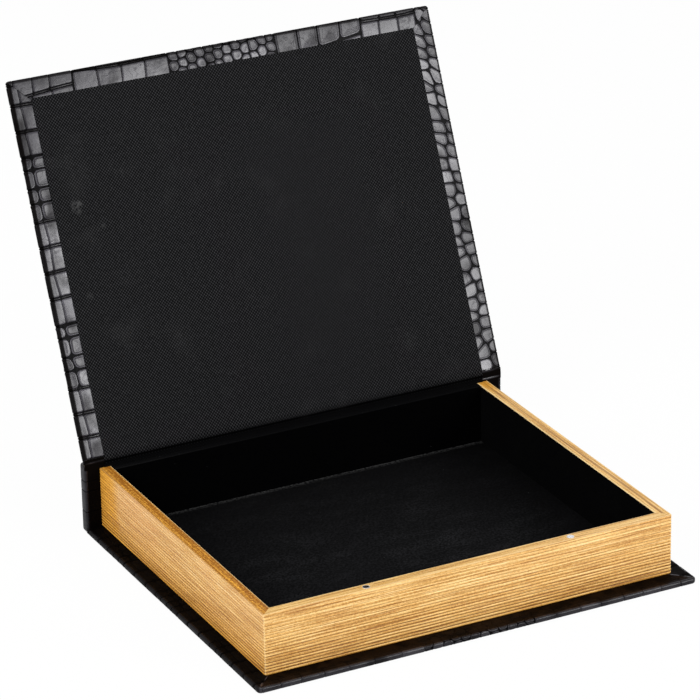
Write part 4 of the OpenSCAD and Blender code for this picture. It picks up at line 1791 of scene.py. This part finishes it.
# how far past a board's front and back the bands of pebbles begin
FRONT_MARGIN, BACK_MARGIN = 20, 8
SIDE_TURN, FORE_TURN = 15.0, 14.2
LID_PLAN_R, HINGE_EDGE_R = 1.8, 0.6
cover_t = lid_high[2] - lid_low[2]
side_fold = (EDGE_R, cover_t, fold_length(SIDE_TURN, EDGE_R, cover_t))
fore_fold = (EDGE_R, cover_t, fold_length(FORE_TURN, EDGE_R, cover_t))
hinge_fold_end = math.pi * HINGE_EDGE_R / 2 + cover_t - HINGE_EDGE_R
lid_cover = Cover(case_half, lid_low[1], lid_high[1], LID_PLAN_R, side_fold, fore_fold,
                  (HINGE_EDGE_R, cover_t + 2, hinge_fold_end))
lid_cover.dark_rim = {"left": 0.9, "low": 0.6, "right": 0.4}
lid_cover.edge_polish["left"] = 0.05
lid_cover.inner_polish["low"] = 0.71
above = lid_high[1] + FIRST_ROW
lid_rows = [[(above, above), *row_edges(lid_high[1], BELLY_ROWS), *fore]
            for fore in FORE_EDGE_ROWS]
lid_scales = hide_scales(lid_rows, lid_low[1] - FRONT_MARGIN, lid_high[1] + BACK_MARGIN, 5)
DULL_REACH = 85.0


def dull_corner(work):
    """Takes the gloss from the much handled front left corner."""
    polish = work.verts.layers.float["polish"]
    for vertex in work.verts:
        away = math.hypot(vertex.co.x + case_half, vertex.co.y - lid_low[1])
        vertex[polish] *= 0.55 + 0.45 * min(1.0, away / DULL_REACH)


mesh = cover_mesh("lid_hide", lid_cover, lid_scales, 51, trim=dull_corner)
mesh.transform(open_turn @ Matrix.Translation((0, 0, lid_high[2])))
put_in_scene("leather_lid", mesh, "lid", ["lid_leather"])

# %% [markdown]
# The base is wrapped like the lid, but its outer face looks down, so it is folded the same
# way and then turned over. Turning over swaps left and right, and the hide is mirrored first
# to keep its grain in line with the lid's. The spine is a narrow board on edge: its leather
# folds over the top and the foot, and round both ends onto the inner face.

# %% Leather of the base
BASE_ROWS = (12.6, 13.1, 12.4, 7.4, 6.3, 7.1, 13.5, 14.2, 13.0, 6.6, 7.2, 6.1, 7.0, 12.9, 13.8,
             13.3, 6.9, 6.4, 12.7, 13.4, 12.2, 13.1)
FIRST_BASE_ROW = 11.0
BASE_SIDE_TURN, BASE_FORE_TURN = 13.0, 15.0
BASE_PLAN_R = 2.6
# the base's right end has broad scales instead of pebbles
RIGHT_BLOCK = (119.5, 133.5, 148.0)
# half width of the grooves through all rows, which are finer here than on the lid
FINE_GROOVE_HALF = 0.12
# the grain of the base is pressed flat, so its scales are low and their grooves shine a little
FLAT_RISE, FLAT_SOFTNESS = 0.13, 0.6


def mirrored(scales):
    """The same scales with left and right swapped."""
    return [(outline[::-1] * (-1, 1), kind) for outline, kind in scales]


base_t = base_high[2]
base_side = (EDGE_R, base_t, fold_length(BASE_SIDE_TURN, EDGE_R, base_t))
base_fore = (EDGE_R, base_t, fold_length(BASE_FORE_TURN, EDGE_R, base_t))
base_cover = Cover(case_half, case_front, base_high[1], BASE_PLAN_R, base_side, base_fore)
base_blocks = (*BELLY_BLOCKS, RIGHT_BLOCK)
base_rows = [row_edges(base_high[1] + FIRST_BASE_ROW, BASE_ROWS)] * len(base_blocks)
base_scales = mirrored(hide_scales(
    base_rows, case_front - FRONT_MARGIN, base_high[1] + BACK_MARGIN, 8, base_blocks,
    PEBBLE_BANDS[:1], FINE_GROOVE_HALF))
base_cover.inner_polish.update(left=0.02, right=0.02, low=0.036)
base_cover.mitre_polish = 0.7
# painted reflection of the gilt front wall on the base's front margin
base_cover.brown["low"] = 1.0
base_cover.edge_polish.update(left=0.3, right=0.1, low=0.34)
mesh = cover_mesh("base_hide", base_cover, base_scales, 52, FLAT_RISE, least_soft=FLAT_SOFTNESS)
mesh.transform(Matrix.Rotation(math.pi, 4, "Y"))
put_in_scene("leather_base", mesh, "base", ["base_leather"])

# %% Scales of the spine
SPINE_ROWS = (12.6, 9.3, 5.9, 12.4, 13.5, 13.0)
# creases across the two ends of the spine, and half the gap between the strips there
END_CREASES = (-8.0, 13.3, 25.7, 31.6, 49.0)
END_GAP_HALF = 0.12
LEAST_WIDTH = 1.2


def plain_ends(scales, reach, far, creases):
    """Keeps the scales within reach of the middle, and plain strips beyond it."""
    kept = []
    for outline, kind in scales:
        for side in (-1, 1):
            outline = np.array(cut_outline(list(outline), np.array((side, 0)), reach - 0.3))
            if len(outline) < 3:
                break
        if len(outline) >= 3 and np.ptp(outline[:, 0]) > LEAST_WIDTH:
            kept.append((outline, kind))
    for side in (-1, 1):
        ends = sorted((side * (reach + 0.1), side * far))
        for low, high in zip(creases, creases[1:]):
            corners = [(ends[0], low), (ends[1], low), (ends[1], high), (ends[0], high)]
            strip = tile_outline(corners, (0, 0, END_GAP_HALF, END_GAP_HALF), 0.6)
            kept.append((strip, "broad"))
    return kept


spine_rows = [row_edges(spine_high[2] + SPINE_ROWS[0], SPINE_ROWS)] * len(BELLY_BLOCKS)
spine_scales = mirrored(hide_scales(spine_rows, -BACK_MARGIN, spine_high[2] + BACK_MARGIN, 9))
spine_scales = plain_ends(spine_scales, case_half - 1.5, case_half + 20, END_CREASES)
print("spine scales:", len(spine_scales))

# %% Leather of the spine
SPINE_PLAN_R = 1.9
# the spine's side flaps end this far from the tray
TRAY_GAP = 0.1
SPINE_RISE = 0.2
spine_t = spine_high[1] - spine_low[1]
over_top = spine_high[1] - corner("spine_board")[0][1]
over_fold = (EDGE_R, over_top + 2, math.pi * EDGE_R / 2 + over_top - EDGE_R)
spine_turn = spine_high[0] - tray_half - TRAY_GAP
spine_side = (EDGE_R, spine_t, fold_length(spine_turn, EDGE_R, spine_t))
spine_cover = Cover(case_half, 0.0, spine_high[2], SPINE_PLAN_R, spine_side, over_fold,
                    over_fold)
spine_cover.inner_polish = dict.fromkeys(SIDES, 0.008)
spine_cover.edge_polish.update(left=0.24, right=0.24)


def trim_inner_strips(work, level, low, high):
    """Keeps the leather on the spine's inner face only between the base and the tray's top."""
    cut(work, (0, 0, level), (0, 0, -1))
    for v in (low, high):
        inner = [f for f in work.faces if f.calc_center_median().z < level]
        cut(work, (0, v, 0), (0, 1, 0), faces=inner)
    spare = [f for f in work.faces if f.calc_center_median().z < level
             and not low < f.calc_center_median().y < high]
    bmesh.ops.delete(work, geom=spare, context="FACES")


mesh = cover_mesh("spine_hide", spine_cover, spine_scales, 53, SPINE_RISE,
                  lambda work: trim_inner_strips(work, -over_top, base_t, tray_top))
stand = Matrix(((-1, 0, 0), (0, 0, 1), (0, 1, 0))).transposed().to_4x4()
mesh.transform(Matrix.Translation((0, spine_high[1], 0)) @ stand)
put_in_scene("leather_spine", mesh, "base", ["spine_leather"])

# %% [markdown]
# Between the spine and the lid the leather has no board, and it is the hinge. It rises
# behind the tray to the lid's inner edge, and on the outside it dips into a fold between the
# spine's top and the lid.

# %% Strips that bend
def along_strip(first, last, steps):
    """Evenly spaced points from first on, without the last one."""
    return [tuple(np.array(first) + (np.array(last) - np.array(first)) * k / steps)
            for k in range(steps)]


def bent_strip(name, front, thickness, half_width, pitch, swell, seed, material,
               threads=None, ridges=None, marks=None):
    """A strip along x whose section follows front, a line of (y, z) points, with its
    thickness on the left of that line. ridges and marks are functions of x and of the way
    along the section: the first gives a rise, the second numbers for the finish."""
    front = np.array(front)
    ahead = np.gradient(front, axis=0)
    ahead /= np.hypot(*ahead.T)[:, None]
    offset = np.stack([ahead[:, 1], -ahead[:, 0]], -1)
    section = np.vstack([front, (front + offset * thickness)[::-1]])
    stations = np.linspace(-half_width, half_width, max(2, round(2 * half_width / pitch)))
    x, k = np.meshgrid(stations, np.arange(len(section)), indexing="ij")
    walked = np.concatenate([[0], np.cumsum(np.hypot(*np.diff(front, axis=0).T))])
    walked = np.concatenate([walked, walked[::-1]])
    outward = np.vstack([-offset, -offset[::-1]])
    lift = swell * soft_waves(x, walked[k], seed) * (np.sin(np.pi * walked[k] / walked.max()))
    if ridges:
        lift = lift + ridges(x, walked[k])
    points = np.stack([x, section[k][..., 0] + outward[k][..., 0] * lift,
                       section[k][..., 1] + outward[k][..., 1] * lift], -1)
    rows, columns = x.shape
    index = np.arange(rows * columns).reshape(rows, columns)
    ring = np.concatenate([index, index[:, :1]], 1)
    faces = np.stack([ring[:-1, :-1], ring[1:, :-1], ring[1:, 1:], ring[:-1, 1:]], -1)
    mesh = bpy.data.meshes.new(name)
    mesh.from_pydata(points.reshape(-1, 3).tolist(), [], faces.reshape(-1, 4).tolist())
    mesh.materials.append(material)
    if threads:
        add_threads(mesh, points[..., 0].ravel() / threads[0], walked[k].ravel() / threads[1])
    for label, values in (marks(x, walked[k]) if marks else {}).items():
        add_number(mesh, label, np.broadcast_to(values, x.shape).ravel())
    close_shell(mesh, 60)
    return mesh


# %% Leather behind the tray
CLOTH_T = 0.4
# way up the strip, first and last x and strength of each worn crease
RIDGES = ((1.1, 104.0, 128.0, 1.0), (5.6, 107.0, 127.0, 0.35), (4.3, -128.0, -112.0, 0.4))
RIDGE_HEIGHT = 0.24
# the strips stop this far short of the case's ends
END_ROOM = 0.2


def opened(y, z):
    """Where a point of the closed lid lies on the open one."""
    place = open_turn @ Vector((0, y, z))
    return place.y, place.z


def worn_ridges(x, walked):
    """1 along the creases in which the bare hinge leather has set."""
    total = 0
    for at, first, last, strength in RIDGES:
        total = total + strength * hill(walked, at + 0.25 * np.sin(x / 9), 0.4) * np.clip(
            (x - first) / 3, 0, 1) * np.clip((last - x) / 1.5, 0, 1)
    return total


crest = spine_high[2]
riser_front = spine_low[1]
lid_inner_edge = opened(lid_high[1], lid_low[2])
blend_start = (0, riser_front * MM, (crest - 0.9) * MM)
blend_end = (0, lid_inner_edge[0] * MM, lid_inner_edge[1] * MM)
riser_line = (along_strip((riser_front, tray_top), (riser_front, crest), 14)
              + along_strip((riser_front, crest), lid_inner_edge, 12) + [lid_inner_edge])
mesh = bent_strip(
    "riser", riser_line, LEATHER_T, case_half - END_ROOM, 2.4, 0.12, 61, leather,
    ridges=lambda x, walked: RIDGE_HEIGHT * worn_ridges(x, walked),
    marks=lambda x, walked: {"crown": 1.0, "polish": 0.006 + 0.8 * worn_ridges(x, walked)})
riser = put_in_scene("leather_hinge", mesh, None, ["hinge_leather"])
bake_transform(riser, "base", "lid", blend_start, blend_end)

# %% Leather fold between spine and lid
# the way from the spine's top towards the lid, from the hinge line backwards and up
FOLD_WAY = ((3.9, 0.85), (3.3, 1.07), (2.7, 1.18), (2.2, 1.4), (1.9, 1.75), (1.9, 2.2),
            (2.15, 2.6), (2.5, 2.9))
FOLD_T = 0.45
fold_line = [(hinge_line.y + back, hinge_line.z + up) for back, up in FOLD_WAY]
fold_line.append(opened(lid_high[1] - 0.15, hinge_line.z + 1.35))
mesh = bent_strip("fold", fold_line, -FOLD_T, case_half - END_ROOM, 3.0, 0.1, 62, leather,
                  marks=lambda x, walked: {"crown": 0.9, "polish": 0.4})
fold = put_in_scene("leather_hinge_fold", mesh, None)
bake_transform(fold, "base", "lid", (0, 0.1060, 0.0410), (0, 0.1059, 0.0429))

# %% Cloth over the hinge
# half height of the step over the crest, and how far the cloth leans in there
CREST_HALF, CREST_LEAN = 0.35, 0.22
lining_low = corner("hinge_lining")[0]
back_wall_low, back_wall_high = corner("back_wall")
lid_cloth_edge = opened(lid_high[1], lid_low[2] - CLOTH_T)
cloth_front = riser_front - CLOTH_T
cloth_line = (along_strip((cloth_front, tray_top), (cloth_front, crest - CREST_HALF), 6)
              + [(cloth_front + CREST_LEAN, crest)]
              + along_strip((cloth_front + 0.05, crest + CREST_HALF), lid_cloth_edge, 8)
              + [lid_cloth_edge])
crest_walk = crest - tray_top
mesh = bent_strip(
    "hinge_cloth", cloth_line, CLOTH_T, cloth_high[0], 3.0, 0.06, 63, cloth, THREADS,
    # painted shade in the hollow over the crest
    marks=lambda x, walked: {"hollow": hill(walked, crest_walk + 0.1, 1.3),
                             # cloth pressed flat below the crest, darkened as painted shade
                             "pressed": 1 - np.clip((walked - crest_walk + 1.2) / 1.2, 0, 1)})
top_low = np.array([back_wall_low[0], lining_low[1], tray_top - CLOTH_T])
top_high = np.array([back_wall_high[0], riser_front, tray_top])
flat_top = soft_slab("wall_top", top_low, top_high, "+z", 3.0, 0.05, 64, cloth, THREADS)
# the wall's top is pressed cloth, darkened as painted shade
add_number(flat_top, "pressed", 1.0)
# painted highlight along the front edge of the wall's top, strongest towards the left
from_front = np.array([v.co.y - top_low[1] for v in flat_top.vertices])
to_left = np.clip((-30.0 - np.array([v.co.x for v in flat_top.vertices])) / 70.0, 0.15, 1)
add_number(flat_top, "rubbed", 1.5 * hill(from_front, 0.35, 0.5) * to_left)
work = bmesh.new()
work.from_mesh(mesh)
work.from_mesh(flat_top)
work.to_mesh(mesh)
work.free()
lining = put_in_scene("cloth_hinge_lining", mesh, None, ["hinge_lining"])
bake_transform(lining, "base", "lid", blend_start, blend_end)
